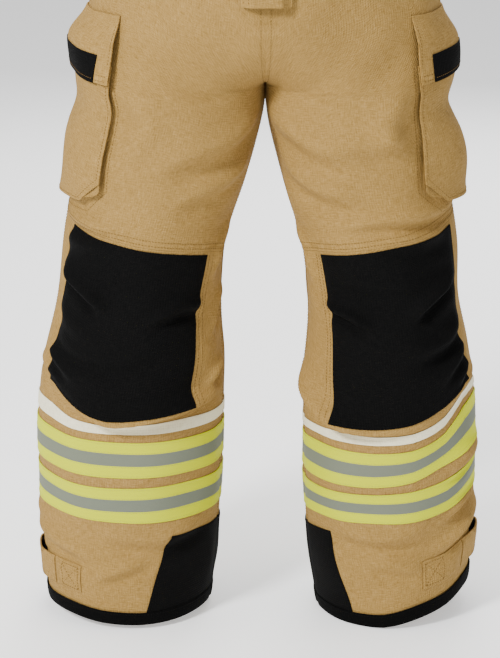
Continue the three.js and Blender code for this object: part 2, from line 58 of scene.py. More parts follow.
# ---------- sizes of the cut, the same as the frame's ----------
INSEAM = 0.740
WAIST_SEAM = 0.980
TOP = 1.030
HIP_SET_BACK = 7.5 * MM
CROTCH_BLEND = 0.100
TOE_OUT = 12
KNEE_SEAM_INNER = 0.513
KNEE_SEAM_OUTER = 0.569
CLOTH = 1.5 * MM
PATCH = 1.1 * MM
LEG_RADIUS = 0.115
BAND_WIDTH = 0.050
UPPER_TAPE_BOTTOM = 0.222
LOWER_TAPE_BOTTOM = 0.157
CREAM_BOTTOM = 0.283
CREAM_WIDTH = 0.011
PATCH_BOTTOM = 0.308
BINDING_HEIGHT = 0.020
KICK_HEIGHT = 0.112
CUFF_BOTTOM = 0.038
CUFF_WIDTH = 0.042
ANCHOR_END, STRAP_END = 46, 126
POCKET_WIDTH = 0.184
POCKET_BOTTOM = 0.580
FACE_BOTTOM = 0.596
POCKET_MOUTH = 0.790
POCKET_CORNER = 0.030
POCKET_DIP = 0.016
FLAP_WIDTH = 0.190
FLAP_HINGE = 0.838
FLAP_LOW = 0.752
FLAP_SLANT = 0.020
FLY_BOTTOM = 0.872
FLY_TOP = 0.976
TAKE_UP = 0.030

# leg sections: height, centre line, half width, half depth; each leg hangs a little differently
LEG_SECTIONS = {
    "left": [
        (0.000, 0.1775, 0.1035, 0.104),
        (0.115, 0.1730, 0.1150, 0.110),
        (0.227, 0.1710, 0.1180, 0.112),
        (0.341, 0.1680, 0.1150, 0.111),
        (0.440, 0.1605, 0.1025, 0.106),
        (0.520, 0.1530, 0.1045, 0.108),
        (0.610, 0.1350, 0.1120, 0.112),
        (0.676, 0.1250, 0.1190, 0.115),
        (0.716, 0.1190, 0.1186, 0.115),
        (INSEAM, 0.119, 0.119, 0.115),
    ],
    "right": [
        (0.000, 0.1880, 0.1110, 0.105),
        (0.115, 0.1860, 0.1220, 0.110),
        (0.227, 0.1845, 0.1260, 0.112),
        (0.341, 0.1795, 0.1245, 0.111),
        (0.440, 0.1695, 0.1110, 0.106),
        (0.520, 0.1620, 0.1085, 0.108),
        (0.610, 0.1405, 0.1145, 0.112),
        (0.676, 0.1270, 0.1195, 0.115),
        (0.716, 0.1190, 0.1186, 0.115),
        (INSEAM, 0.119, 0.119, 0.115),
    ],
}
HIP_SECTIONS = [
    (INSEAM, 0.236, 0.144),
    (0.800, 0.236, 0.144),
    (0.860, 0.226, 0.144),
    (WAIST_SEAM, 0.208, 0.144),
    (TOP, 0.204, 0.144),
]

# folds in the cloth: points (angle round the leg, height in mm), width in mm, height in mm
FOLDS = {
    "right": [
        ([(88, 576), (50, 566), (4, 560)], 10, 5.5),
        ([(84, 548), (45, 540), (10, 548)], 14, 3.0),
        ([(66, 510), (34, 480), (14, 448)], 10, 9.0),
        ([(66, 424), (36, 394), (-16, 370)], 11, 3.5),
        ([(70, 398), (48, 366), (26, 346)], 11, 3.5),
        ([(70, 470), (50, 430), (20, 408)], 14, 3.5),
        ([(-62, 452), (-34, 456), (-8, 436)], 9, 5.0),
        ([(-30, 405), (0, 392), (44, 420)], 16, 2.5),
        ([(-96, 324), (-42, 308), (0, 299), (34, 308)], 9, 12.0),
        ([(110, 352), (76, 344), (40, 322)], 10, 3.0),
        ([(-86, 372), (-70, 350), (-60, 330)], 9, 5.0),
        ([(-70, 150), (-30, 132), (14, 138)], 13, 4.5),
        ([(90, 132), (50, 112), (0, 96)], 12, 5.0),
        ([(15, 66), (-5, 84), (-28, 106)], 10, 4.0),
        ([(100, 150), (75, 140), (50, 143)], 10, 3.0),
        ([(-82, 716), (-40, 676), (8, 652)], 18, 6.0),
        ([(-78, 650), (-45, 620), (-10, 600)], 14, 4.5),
        ([(30, 760), (12, 700), (22, 640)], 20, 5.0),
        ([(-84, 570), (-70, 525), (-62, 480)], 12, 4.5),
        ([(-88, 480), (-74, 440), (-66, 400)], 10, 4.0),
    ],
    "left": [
        ([(90, 596), (52, 584), (8, 580), (-46, 562)], 10, 6.5),
        ([(60, 556), (30, 548), (-10, 556)], 13, 3.5),
        ([(62, 500), (28, 468), (8, 440)], 10, 8.0),
        ([(66, 440), (40, 404), (-5, 392)], 13, 5.0),
        ([(66, 408), (50, 372), (20, 344)], 12, 3.8),
        ([(68, 370), (56, 344), (38, 322)], 11, 3.0),
        ([(-58, 456), (-34, 446), (-14, 426)], 8, 7.0),
        ([(-44, 500), (-10, 488), (30, 494)], 15, 3.0),
        ([(-96, 372), (-68, 330), (-44, 302), (34, 299)], 9, 12.0),
        ([(20, 306), (58, 306), (100, 330)], 10, 3.0),
        ([(-60, 150), (-20, 134), (18, 136)], 13, 5.0),
        ([(95, 122), (60, 112), (10, 90)], 12, 6.0),
        ([(84, 218), (56, 214), (22, 216)], 9, 6.0),
        ([(80, 156), (50, 148), (22, 146)], 9, 4.0),
        ([(15, 60), (-5, 82), (-24, 106)], 11, 4.0),
        ([(-80, 716), (-36, 676), (8, 652)], 18, 6.0),
        ([(-72, 650), (-42, 616), (0, 604)], 15, 5.0),
        ([(34, 756), (14, 704), (24, 640)], 20, 5.0),
        ([(30, 700), (6, 676), (-30, 690)], 16, 4.0),
        ([(-86, 560), (-72, 520), (-66, 470)], 11, 4.5),
    ],
}
FOLD_SCALE = 1.75  # all the folds above and below are this much deeper
BACK_FOLDS = [
    ([(120, 560), (180, 538), (240, 560)], 13, 7.0),
    ([(115, 500), (175, 506), (235, 486)], 12, 6.5),
    ([(130, 455), (185, 438), (245, 452)], 13, 6.0),
    ([(110, 330), (180, 304), (262, 326)], 10, 8.0),
    ([(250, 700), (215, 660), (180, 640)], 15, 6.0),
    ([(252, 640), (215, 600), (170, 592)], 14, 5.0),
    ([(250, 800), (215, 770), (180, 765)], 18, 6.0),
    ([(120, 130), (180, 112), (240, 128)], 12, 5.0),
]

# how far the hanging cloth is pulled up, in mm: heights down the side, angles round the leg
LIFT_ANGLES = (-90, -50, -20, 5, 30, 50, 75, 110, 180, 270)
LIFTS = {
    "right": [
        (0, (12, 7, 5, 7, 12, 14, 14, 8, 0, 12)),
        (60, (8, 4, 2, 5, 11, 10, 12, 8, 0, 8)),
        (157, (0, 0, 0, 2, 4, 6, 10, 8, 0, 0)),
        (222, (0, 0, 0, 0, 2, 5, 8, 6, 0, 0)),
        (283, (0, 0, 0, 0, 2, 8, 12, 8, 0, 0)),
        (308, (10, 8, 4, -2, 10, 32, 34, 16, 0, 10)),
        (390, (0, 0, 0, 0, 0, 0, 0, 0, 0, 0)),
    ],
    "left": [
        (0, (2, 0, 0, 12, 24, 38, 40, 26, 0, 2)),
        (60, (-6, -6, 0, 20, 26, 40, 44, 30, 2, -6)),
        (157, (-8, -4, 0, 2, 9, 25, 32, 22, 0, -8)),
        (207, (-14, -12, -11, -6, 2, 19, 28, 20, 0, -14)),
        (222, (-16, -16, -16, -8, 15, 30, 36, 24, 0, -16)),
        (272, (-16, -16, -16, -12, 2, 38, 46, 28, 0, -16)),
        (308, (-14, -16, -16, -10, 6, 32, 36, 20, 0, -14)),
        (400, (0, 0, 0, 0, 0, 0, 0, 0, 0, 0)),
    ],
}


def ease(x):
    """From 0 to 1 without a corner at either end."""
    x = np.clip(x, 0, 1)
    return x * x * (3 - 2 * x)


def mix(a, b, share):
    """The value a share of the way from a to b."""
    return a + (b - a) * share


def section_at(table, z):
    """Each column of a section table at heights z, with a smooth curve through its rows."""
    rows = np.array(table)
    heights = rows[:, 0]
    last = len(rows) - 1
    slopes = np.array([
        (rows[min(i + 1, last)] - rows[max(i - 1, 0)]) / (heights[min(i + 1, last)] - heights[max(i - 1, 0)])
        for i in range(last + 1)
    ])
    row = np.clip(np.searchsorted(heights, z) - 1, 0, last - 1)
    span = heights[row + 1] - heights[row]
    t = (z - heights[row]) / span
    found = []
    for column in range(1, rows.shape[1]):
        start, end = rows[row, column], rows[row + 1, column]
        leave, arrive = slopes[row, column] * span, slopes[row + 1, column] * span
        turn = 2 * (start - end) + leave + arrive
        bend = 3 * (end - start) - 2 * leave - arrive
        found.append(start + t * (leave + t * (bend + t * turn)))
    return found


def fold_at(path, width, height, across, z, lip=False):
    """One fold's ridge along a path, with its hollow just below. A lip is steep on its lower side."""
    points = np.array([(math.radians(a) * LEG_RADIUS, h * MM) for a, h in path])
    fine = np.linspace(0, len(points) - 1, 13)
    line = np.stack([np.interp(fine, range(len(points)), points[:, i]) for i in (0, 1)], 1)
    line[1:-1] = (line[:-2] + 2 * line[1:-1] + line[2:]) / 4
    nearest = np.full(across.shape, 1e9)
    signed = np.zeros(across.shape)
    along = np.zeros(across.shape)
    for i, (start, end) in enumerate(zip(line[:-1], line[1:])):
        step = end - start
        length = float(step @ step)
        above = 1 if line[-1, 0] > line[0, 0] else -1
        share = np.clip(((across - start[0]) * step[0] + (z - start[1]) * step[1]) / length, 0, 1)
        dx, dz = across - start[0] - share * step[0], z - start[1] - share * step[1]
        distance = np.hypot(dx, dz)
        closer = distance < nearest
        nearest = np.where(closer, distance, nearest)
        signed = np.where(closer, above * np.sign(step[0] * dz - step[1] * dx) * distance, signed)
        along = np.where(closer, (i + share) / (len(line) - 1), along)
    taper = ease(np.minimum(along, 1 - along) / 0.35)
    reach = width * MM
    if lip:
        ridge = np.exp(-((signed / np.where(signed > 0, 1.8 * reach, 0.4 * reach)) ** 2))
        hollow = 0.4 * np.exp(-(((signed + 1.2 * reach) / reach) ** 2))
    else:
        ridge = np.exp(-((signed / reach) ** 2))
        hollow = np.exp(-(((signed + 1.5 * reach) / reach) ** 2))
    return height * MM * taper * (ridge - 0.65 * hollow) * np.exp(-(nearest / (reach * 4)) ** 4)


def folds(side, angle, z):
    """How far the cloth stands off its smooth shape: slow unevenness, then each fold in turn."""
    angle = np.mod(angle + 90, 360) - 90
    across = np.radians(angle) * LEG_RADIUS
    round_leg = 2 * math.pi * LEG_RADIUS
    turn = SIDES[side] * 1.3
    total = 1.8 * MM * np.sin(across / 0.021 + z / 0.043 + turn) * np.sin(z / 0.033 - across / 0.052)
    total = total + 1.5 * MM * np.sin(across / 0.036 - z / 0.021 + 2 * turn)
    seam_distance = np.minimum(angle + 90, 270 - angle)
    total = total * ease(seam_distance / 16)
    for path, width, height in FOLDS[side] + BACK_FOLDS:
        lip = height >= 12
        total = total + fold_at(path, width, FOLD_SCALE * height, across, z, lip)
        if min(a for a, _ in path) < -60:
            total = total + fold_at(path, width, FOLD_SCALE * height, across - round_leg, z, lip)
        if max(a for a, _ in path) > 240:
            total = total + fold_at(path, width, FOLD_SCALE * height, across + round_leg, z, lip)
    centre = ease((z - 0.66) / 0.08) * (1 - ease(seam_distance / 26))
    calm = (1 - 0.75 * ease((z - 0.86) / 0.08)) * (1 - centre)
    foot = 0.35 + 0.65 * ease(z / 0.06)
    outer_side = np.exp(-(((angle - 86) / 26) ** 2)) * (1 - ease((z - 0.56) / 0.06))
    return total * calm * foot * (1 - 0.65 * outer_side)


def hitched(side, angle, z):
    """Where the lower leg is pulled up or slumps, its bands and hem go with it."""
    rows = LIFTS[side]
    heights = np.array([row[0] for row in rows]) * MM
    values = np.array([row[1] for row in rows]) * MM
    total = np.zeros(np.broadcast(angle, z).shape)
    for turn, rise in ((0, 0), (9, 0), (-9, 0), (0, 0.008), (0, -0.008)):
        row = np.clip(np.searchsorted(heights, z + rise) - 1, 0, len(rows) - 2)
        share = np.clip((z + rise - heights[row]) / (heights[row + 1] - heights[row]), 0, 1)
        at = np.mod(angle + turn + 90, 360) - 90
        columns = np.array([np.interp(at, LIFT_ANGLES, level) for level in values])
        picked = np.take_along_axis(columns, np.stack([row, row + 1]), 0)
        total = total + mix(picked[0], picked[1], share) / 5
    return z + total


def base_point(side, angle, z):
    """The smooth shell and its outward direction, on the wearer's left, before mirroring."""
    angle, z = np.broadcast_arrays(np.asarray(angle, float), np.asarray(z, float))
    centre, half_width, half_depth = section_at(LEG_SECTIONS[side], np.minimum(z, INSEAM))
    around = np.radians(angle + TOE_OUT * np.clip(1 - z / INSEAM, 0, 1))
    x, y = centre + half_width * np.sin(around), -half_depth * np.cos(around)
    tx, ty = half_width * np.cos(around), half_depth * np.sin(around)
    hip_width, hip_depth = section_at(HIP_SECTIONS, np.maximum(z, INSEAM))
    half = np.radians((angle + 90) / 2)
    rise = np.clip((z - INSEAM) / CROTCH_BLEND, 0, 1)
    share = mix(ease(rise), np.sqrt(rise * (2 - rise)), np.cos(half) ** 2)
    x = mix(x, hip_width * np.sin(half), share)
    y = mix(y, HIP_SET_BACK - hip_depth * np.cos(half), share)
    tx = mix(tx, hip_width * np.cos(half) / 2, share)
    ty = mix(ty, hip_depth * np.sin(half) / 2, share)
    size = np.hypot(tx, ty)
    return x, y, ty / size, -tx / size


def seam_dip(angle, z):
    """The cloth is drawn in along the side seam, the inseam and the centre seams."""
    dip = np.zeros(np.broadcast(angle, z).shape)
    angle = np.mod(angle + 90, 360) - 90
    for seam in (-90, 90, 270):
        distance = np.radians(angle - seam) * LEG_RADIUS
        depth = 1.6 if seam == 90 else 1.6 * (1 - ease((z - 0.66) / 0.04))
        dip = dip - depth * MM * np.exp(-((distance / (4 * MM)) ** 2))
    return dip


def cloth_point(side, angle, z, offset=0.0, flat=False):
    """A point on the folded cloth of one leg; flat leaves the folds out."""
    angle, z, offset = np.broadcast_arrays(*(np.asarray(v, float) for v in (angle, z, offset)))
    height = np.maximum(hitched(side, angle, z), 0.0002)
    x, y, nx, ny = base_point(side, angle, height)
    out = offset if flat else offset + folds(side, angle, z) + seam_dip(angle, z)
    x = np.maximum(x + nx * out, 0.0)
    return np.stack([SIDES[side] * x, y + ny * out, height], -1)


def angle_at(side, distance, z):
    """The angle at a distance along the cloth from the outseam; towards the front is negative."""
    distance, z = np.broadcast_arrays(np.asarray(distance, float), np.asarray(z, float))
    steps = np.linspace(0, 150, 151)
    found = np.empty(distance.shape)
    for way in (-1, 1):
        angles = 90 + way * steps
        x, y, _, _ = base_point(side, angles[None, :], z.reshape(-1, 1))
        length = np.concatenate(
            [np.zeros((z.size, 1)), np.cumsum(np.hypot(np.diff(x, axis=1), np.diff(y, axis=1)), 1)], 1)
        picked = np.array([np.interp(abs(d), row, angles) for d, row in zip(distance.ravel(), length)])
        found = np.where((np.sign(distance) == way) | ((distance == 0) & (way == 1)),
                         picked.reshape(distance.shape), found)
    return found


# ---------- materials ----------
def linear(level):
    """One screen colour level from 0 to 255, as light."""
    return level / 255 / 12.92 if level < 11 else ((level / 255 + 0.055) / 1.055) ** 2.4


def srgb(red, green, blue):
    """An opaque colour, given as it looks on a screen."""
    return tuple(linear(level) for level in (red, green, blue)) + (1,)


def new_material(name, roughness=0.8, metallic=0.0, sheen=0.0, shine=0.5):
    """A material with its node tree and its shader."""
    material = bpy.data.materials.new(name)
    material.use_nodes = True
    tree = material.node_tree
    shader = tree.nodes["Principled BSDF"]
    shader.inputs["Roughness"].default_value = roughness
    shader.inputs["Metallic"].default_value = metallic
    shader.inputs["Sheen Weight"].default_value = sheen
    shader.inputs["Sheen Roughness"].default_value = 0.5
    shader.inputs["Specular IOR Level"].default_value = shine
    return material, tree, shader


def link(tree, *pairs):
    """Joins each pair of an output and an input."""
    for out, into in pairs:
        tree.links.new(out, into)


def uv_texture(tree, kind, scale, stretch=(1, 1, 1), **values):
    """A texture read from the piece's own UV map, in metres along the cloth."""
    uv = tree.nodes.new("ShaderNodeUVMap")
    uv.uv_map = "cloth"
    place = tree.nodes.new("ShaderNodeMapping")
    place.inputs["Scale"].default_value = stretch
    texture = tree.nodes.new(kind)
    texture.inputs["Scale"].default_value = scale
    for key, value in values.items():
        texture.inputs[key.replace("_", " ")].default_value = value
    link(tree, (uv.outputs["UV"], place.inputs["Vector"]),
         (place.outputs["Vector"], texture.inputs["Vector"]))
    return texture


def ramp(tree, factor, stops):
    """Colours along a factor, as (place, colour) stops."""
    node = tree.nodes.new("ShaderNodeValToRGB")
    while len(node.color_ramp.elements) < len(stops):
        node.color_ramp.elements.new(0.5)
    for element, (place, colour) in zip(node.color_ramp.elements, stops):
        element.position = place
        element.color = colour
    link(tree, (factor, node.inputs["Fac"]))
    return node.outputs["Color"]


def blend_colours(tree, kind, factor, first, second):
    """The second colour laid over the first."""
    node = tree.nodes.new("ShaderNodeMix")
    node.data_type = "RGBA"
    node.blend_type = kind
    node.inputs["Factor"].default_value = factor
    link(tree, (first, node.inputs["A"]), (second, node.inputs["B"]))
    return node.outputs["Result"]


def add_heights(tree, first, second, operation="ADD"):
    """Two patterns added, or put together by another operation."""
    node = tree.nodes.new("ShaderNodeMath")
    node.operation = operation
    link(tree, (first, node.inputs[0]), (second, node.inputs[1]))
    return node.outputs[0]


def bump(tree, shader, height, distance):
    """Fine relief in the surface's shading, distance metres deep."""
    node = tree.nodes.new("ShaderNodeBump")
    node.inputs["Distance"].default_value = distance
    node.inputs["Strength"].default_value = 1.0
    link(tree, (height, node.inputs["Height"]), (node.outputs["Normal"], shader.inputs["Normal"]))


def woven(name, dark, mid, light, thread=0.0011, sheen=0.15, depth=0.00022, shine=0.15):
    """Plain weave: warp and weft threads, heathered yarn, and slow unevenness of the dye."""
    material, tree, shader = new_material(name, 0.85, sheen=sheen, shine=shine)
    waves = []
    for direction in ("X", "Y"):
        wave = uv_texture(tree, "ShaderNodeTexWave", 0.1 / thread, Distortion=0.6)
        wave.bands_direction = direction
        waves.append(wave.outputs["Fac"])
    weave = add_heights(tree, *waves)
    yarn_across = uv_texture(tree, "ShaderNodeTexNoise", 1, (90, 900, 1), Detail=3.0, Roughness=0.7)
    yarn_along = uv_texture(tree, "ShaderNodeTexNoise", 1, (900, 90, 1), Detail=3.0, Roughness=0.7)
    yarn = add_heights(tree, yarn_across.outputs["Fac"], yarn_along.outputs["Fac"])
    half = tree.nodes.new("ShaderNodeMath")
    half.operation = "MULTIPLY"
    half.inputs[1].default_value = 0.5
    link(tree, (yarn, half.inputs[0]))
    colour = ramp(tree, half.outputs[0], [(0.36, dark), (0.5, mid), (0.64, light)])
    cloud = uv_texture(tree, "ShaderNodeTexNoise", 22, Detail=4.0)
    tone = ramp(tree, cloud.outputs["Fac"], [(0.3, (0.93, 0.925, 0.91, 1)), (0.7, (1, 1, 1, 1))])
    link(tree, (blend_colours(tree, "MULTIPLY", 1.0, colour, tone), shader.inputs["Base Color"]))
    bump(tree, shader, add_heights(tree, weave, yarn), depth)
    return material


def striped_tape(name):
    """Lime, silver, lime: the silver stripe has the fine grid of retroreflective tape."""
    material, tree, shader = new_material(name, 0.6, shine=0.1)
    uv = tree.nodes.new("ShaderNodeUVMap")
    uv.uv_map = "stripe"
    split = tree.nodes.new("ShaderNodeSeparateXYZ")
    link(tree, (uv.outputs["UV"], split.inputs[0]))
    lime, silver = (0.54, 0.58, 0.0, 1), srgb(108, 113, 98)
    stripes = ramp(tree, split.outputs["Y"], [(0.0, lime), (0.325, silver), (0.675, lime)])
    stripes.node.color_ramp.interpolation = "CONSTANT"
    grid = uv_texture(tree, "ShaderNodeTexNoise", 1, (1500, 1500, 1), Detail=1.0)
    grain = ramp(tree, grid.outputs["Fac"], [(0.35, (0.9, 0.9, 0.89, 1)), (0.65, (1, 1, 1, 1))])
    link(tree, (blend_colours(tree, "MULTIPLY", 1.0, stripes, grain), shader.inputs["Base Color"]))
    bump(tree, shader, grid.outputs["Fac"], 0.0001)
    return material


def plain(name, colour, roughness, metallic=0.0, grain=0.0002, scale=900.0, shine=0.5):
    """One colour with fine surface grain and a slightly uneven tone."""
    material, tree, shader = new_material(name, roughness, metallic, shine=shine)
    place = tree.nodes.new("ShaderNodeTexCoord")
    noise = tree.nodes.new("ShaderNodeTexNoise")
    noise.inputs["Scale"].default_value = scale
    noise.inputs["Detail"].default_value = 3.0
    link(tree, (place.outputs["Object"], noise.inputs["Vector"]))
    darker = tuple(c * 0.72 for c in colour[:3]) + (1,)
    tone = ramp(tree, noise.outputs["Fac"], [(0.3, darker), (0.7, colour)])
    link(tree, (tone, shader.inputs["Base Color"]))
    bump(tree, shader, noise.outputs["Fac"], grain)
    return material


def quilted(name):
    """Thermal liner: pale gold cloth with diamond quilting lines."""
    material, tree, shader = new_material(name, 0.9, sheen=0.2)
    lines = []
    for turn in (45, -45):
        uv = tree.nodes.new("ShaderNodeUVMap")
        uv.uv_map = "cloth"
        place = tree.nodes.new("ShaderNodeMapping")
        place.inputs["Rotation"].default_value = (0, 0, math.radians(turn))
        wave = tree.nodes.new("ShaderNodeTexWave")
        wave.inputs["Scale"].default_value = 9.0
        link(tree, (uv.outputs["UV"], place.inputs["Vector"]),
             (place.outputs["Vector"], wave.inputs["Vector"]))
        lines.append(wave.outputs["Fac"])
    low = add_heights(tree, *lines, operation="MINIMUM")
    colour = ramp(tree, low, [(0.0, srgb(150, 118, 48)), (0.12, srgb(199, 166, 84))])
    link(tree, (colour, shader.inputs["Base Color"]))
    bump(tree, shader, ramp(tree, low, [(0.0, (0, 0, 0, 1)), (0.35, (1, 1, 1, 1))]), 0.0025)
    return material


tan = woven("tan_weave", srgb(124, 95, 44), srgb(148, 117, 62), srgb(166, 134, 80), sheen=0.0)
black = woven("black_weave", srgb(4, 4, 4), srgb(7, 7, 7), srgb(14, 13, 12), sheen=0.0, shine=0.06)
binding_black = woven("binding_weave", srgb(3, 3, 3), srgb(5, 5, 5), srgb(9, 9, 8), sheen=0.0, shine=0.05)
cream = woven("cream_strip", srgb(214, 206, 172), srgb(228, 221, 190), srgb(236, 230, 204), depth=0.0001)
tape = striped_tape("striped_tape")
lining = quilted("quilted_liner")
pile = plain("loop_pile", srgb(8, 8, 8), 0.95, grain=0.0012, scale=1400.0, shine=0.05)
# Tan thread, darker than the cloth: the extra darkness is painted shade for the shadow line along the dented
# seams, not the thread's own colour.
tan_thread_painted_shade = plain("tan_thread_painted_shade", srgb(112, 84, 40), 0.8, shine=0.1)
black_thread = plain("black_thread", srgb(11, 11, 10), 0.8, shine=0.1)
pale_thread = plain("lime_thread", srgb(190, 192, 60), 0.7)
webbing = woven("webbing", srgb(10, 10, 10), srgb(20, 20, 20), srgb(36, 36, 36), thread=0.0022, depth=0.0005)
brass = plain("brass", srgb(178, 142, 74), 0.32, 1.0, grain=0.00003)
steel = plain("nickel", srgb(176, 176, 172), 0.3, 1.0, grain=0.00003)
dark_steel = plain("dark_nickel", srgb(104, 100, 96), 0.35, 1.0, grain=0.00003)
moulded = plain("moulded_plastic", srgb(18, 18, 18), 0.45, grain=0.00008)
foam_cloth = plain("foam", srgb(138, 141, 144), 0.9, grain=0.0006)


# ---------- making cloth ----------
def mesh_object(name, points, faces, material, uvs=None):
    """A mesh from points and faces, with each UV layer given per point."""
    mesh = bpy.data.meshes.new(name)
    mesh.from_pydata(points.tolist(), [], faces)
    for layer, values in (uvs or {}).items():
        uv = mesh.uv_layers.new(name=layer)
        corner = np.empty(len(mesh.loops), np.int32)
        mesh.loops.foreach_get("vertex_index", corner)
        uv.data.foreach_set("uv", values[corner].astype(np.float32).ravel())
    mesh.materials.append(material)
    mesh.validate()
    obj = bpy.data.objects.new(name, mesh)
    bpy.context.scene.collection.objects.link(obj)
    mesh.shade_smooth()
    mesh.set_sharp_from_angle(angle=math.radians(50))
    return obj


def slab(name, outer, inner, material, flip):
    """A closed sheet between two grids of points, [row, column, xyz]. flip turns its faces round."""
    rows, columns = outer.shape[:2]
    count = rows * columns
    grid = np.arange(count).reshape(rows, columns)
    a, b, c, d = grid[:-1, :-1], grid[:-1, 1:], grid[1:, 1:], grid[1:, :-1]
    top = np.stack([a, b, c, d], -1).reshape(-1, 4)
    bottom = np.stack([d, c, b, a], -1).reshape(-1, 4) + count
    rim = np.concatenate([grid[0, :], grid[1:, -1], grid[-1, -2::-1], grid[-2:0:-1, 0]])
    following = np.roll(rim, -1)
    edge = np.stack([rim, rim + count, following + count, following], -1)
    faces = np.concatenate([top, bottom, edge])
    if flip:
        faces = faces[:, ::-1]
    across = np.linalg.norm(np.diff(outer, axis=1), axis=2)
    along = np.linalg.norm(np.diff(outer, axis=0), axis=2)
    u = np.concatenate([np.zeros((rows, 1)), np.cumsum(across, 1)], 1)
    u = u - u[:, columns // 2][:, None]
    v = np.concatenate([np.zeros((1, columns)), np.cumsum(along, 0)], 0)
    cloth = np.stack([u, v], -1).reshape(-1, 2)
    share = np.linspace(0, 1, rows)[:, None] * np.ones((1, columns))
    stripes = np.stack([np.zeros((rows, columns)), share], -1).reshape(-1, 2)
    uvs = {"cloth": np.concatenate([cloth, cloth]), "stripe": np.concatenate([stripes, stripes])}
    points = np.concatenate([outer.reshape(-1, 3), inner.reshape(-1, 3)])
    return mesh_object(name, points, faces.tolist(), material, uvs)


def lay(part, side, across, up, place, inner, outer, material, slot, held="stretched", body="root",
        rests_on=(), fill=None):
    """Lays one cloth piece on the folded shell. place(across, up) gives its angles and heights.
    """
    name = f"{side}_{part}"
    u, v = np.meshgrid(np.linspace(0, 1, across + 1), np.linspace(0, 1, up + 1))
    angle, z = place(u, v)
    low = inner(u, v) if callable(inner) else inner
    high = outer(u, v) if callable(outer) else outer
    outside = cloth_point(side, angle, z, high)
    inside = cloth_point(side, angle, z, low)
    obj = slab(f"cloth_{name}", outside, inside, material, SIDES[side] < 0)
    if fill is None:
        cloth_point(side, angle, z, high, flat=True)
    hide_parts(name)
    if body is not None:
        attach(obj, body)
    return obj


# ---------- stitching ----------
STITCH_PITCH = 4.2 * MM
THREAD_RADIUS = 0.42 * MM
STITCH_RINGS = ((-0.34, 0.8), (0.0, 1.0), (0.34, 0.8))


def stitch_template():
    """One stitch, a unit long: a plump thread with pointed ends."""
    points = [(-0.5, 0, 0)]
    for x, size in STITCH_RINGS:
        points += [(x, size * math.cos(t), size * math.sin(t)) for t in (0.78, 2.36, 3.93, 5.5)]
    points.append((0.5, 0, 0))
    faces = [(0, 1 + (i + 1) % 4, 1 + i) for i in range(4)]
    for ring in range(2):
        start = 1 + 4 * ring
        faces += [(start + i, start + (i + 1) % 4, start + 4 + (i + 1) % 4, start + 4 + i) for i in range(4)]
    faces += [(9 + i, 9 + (i + 1) % 4, 13) for i in range(4)]
    return np.array(points), faces


STITCH_POINTS, STITCH_FACES = stitch_template()
thread_runs = {}


def stitch(group, side, path, offset, material=None):
    """Adds a run of stitches along a path of (angle, height) over the folded cloth."""
    path = np.array(path, float)
    fine = np.linspace(0, len(path) - 1, max(40, 40 * (len(path) - 1)))
    angle = np.interp(fine, range(len(path)), path[:, 0])
    z = np.interp(fine, range(len(path)), path[:, 1])
    line = cloth_point(side, angle, z, offset)
    stitch_line(group, line, cloth_point(side, angle, z, offset + 0.001) - line, material)


def stitch_line(group, line, out, material=None):
    """Adds a run of stitches along a line of points; out leads away from the cloth at each point."""
    length = np.concatenate([[0], np.cumsum(np.linalg.norm(np.diff(line, axis=0), axis=1))])
    count = int(length[-1] / STITCH_PITCH)
    if count < 1:
        return
    middles = (np.arange(count) + 0.5) * length[-1] / count

    def at(places, values=line):
        return np.stack([np.interp(places, length, values[:, i]) for i in range(3)], 1)
    centre = at(middles)
    along = at(middles + 0.4 * STITCH_PITCH) - at(middles - 0.4 * STITCH_PITCH)
    along /= np.linalg.norm(along, axis=1)[:, None]
    normal = at(middles, out)
    normal -= along * (normal * along).sum(1)[:, None]
    normal /= np.linalg.norm(normal, axis=1)[:, None]
    side_way = np.cross(normal, along)
    unit = STITCH_POINTS[None, :, :]
    points = (centre[:, None, :] + along[:, None, :] * unit[..., :1] * STITCH_PITCH * 0.72
              + side_way[:, None, :] * unit[..., 1:2] * THREAD_RADIUS
              + normal[:, None, :] * unit[..., 2:3] * THREAD_RADIUS * 0.8)
    # Tan stitches default to the tan thread, whose darker colour is painted seam shade.
    runs = thread_runs.setdefault(group, {"points": [], "material": material or tan_thread_painted_shade})
    runs["points"].append(points)


def sew(group, body):
    """Makes one mesh of all the stitches of a group, and lets it ride on a body."""
    runs = thread_runs[group]
    points = np.concatenate(runs["points"])
    count = len(STITCH_POINTS)
    faces = [tuple(i + n * count for i in face) for n in range(len(points)) for face in STITCH_FACES]
    obj = mesh_object(f"stitching_{group}", points.reshape(-1, 3), faces, runs["material"])
    if body is not None:
        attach(obj, body)
    return obj


# ---------- shell ----------
def knee_seam(angle):
    """The knee seam rises from the inseam to the side seam."""
    return mix(KNEE_SEAM_INNER, KNEE_SEAM_OUTER, (angle + 90) / 180)


SHELL = dict(inner=-CLOTH, material=tan, slot="shell", held="hung")
SEAM = 0.02  # degrees left between two panels at a seam
LEG_FOOT = 0.0022
SHELL_TOP = WAIST_SEAM - 0.0004


def shell_panels(side):
    """Two front panels that meet at the knee seam, and one back panel."""
    lay("thigh_front_panel", side, 110, 130,
        lambda u, v: (mix(-90 + SEAM, 90 - SEAM, u), mix(knee_seam(mix(-90, 90, u)) + 0.0003, SHELL_TOP, v)),
        outer=0.0, **SHELL)
    lay("knee_front_panel", side, 110, 230,
        lambda u, v: (mix(-90 + SEAM, 90 - SEAM, u), mix(LEG_FOOT, knee_seam(mix(-90, 90, u)), v)),
        outer=0.0, **SHELL)
    lay("back_panel", side, 110, 290,
        lambda u, v: (mix(90 + SEAM, 270 - SEAM, u), mix(LEG_FOOT, SHELL_TOP, v)), outer=0.0, **SHELL)


def stitch_seams(side):
    """One row of stitches down each side of the side seam and the inseam."""
    for angle in (-86.8, 86.8, 93.2, 266.8):
        stitch(f"{side}_shell", side, [(angle, z) for z in np.linspace(0.022, 0.978, 80)], 0.0003)


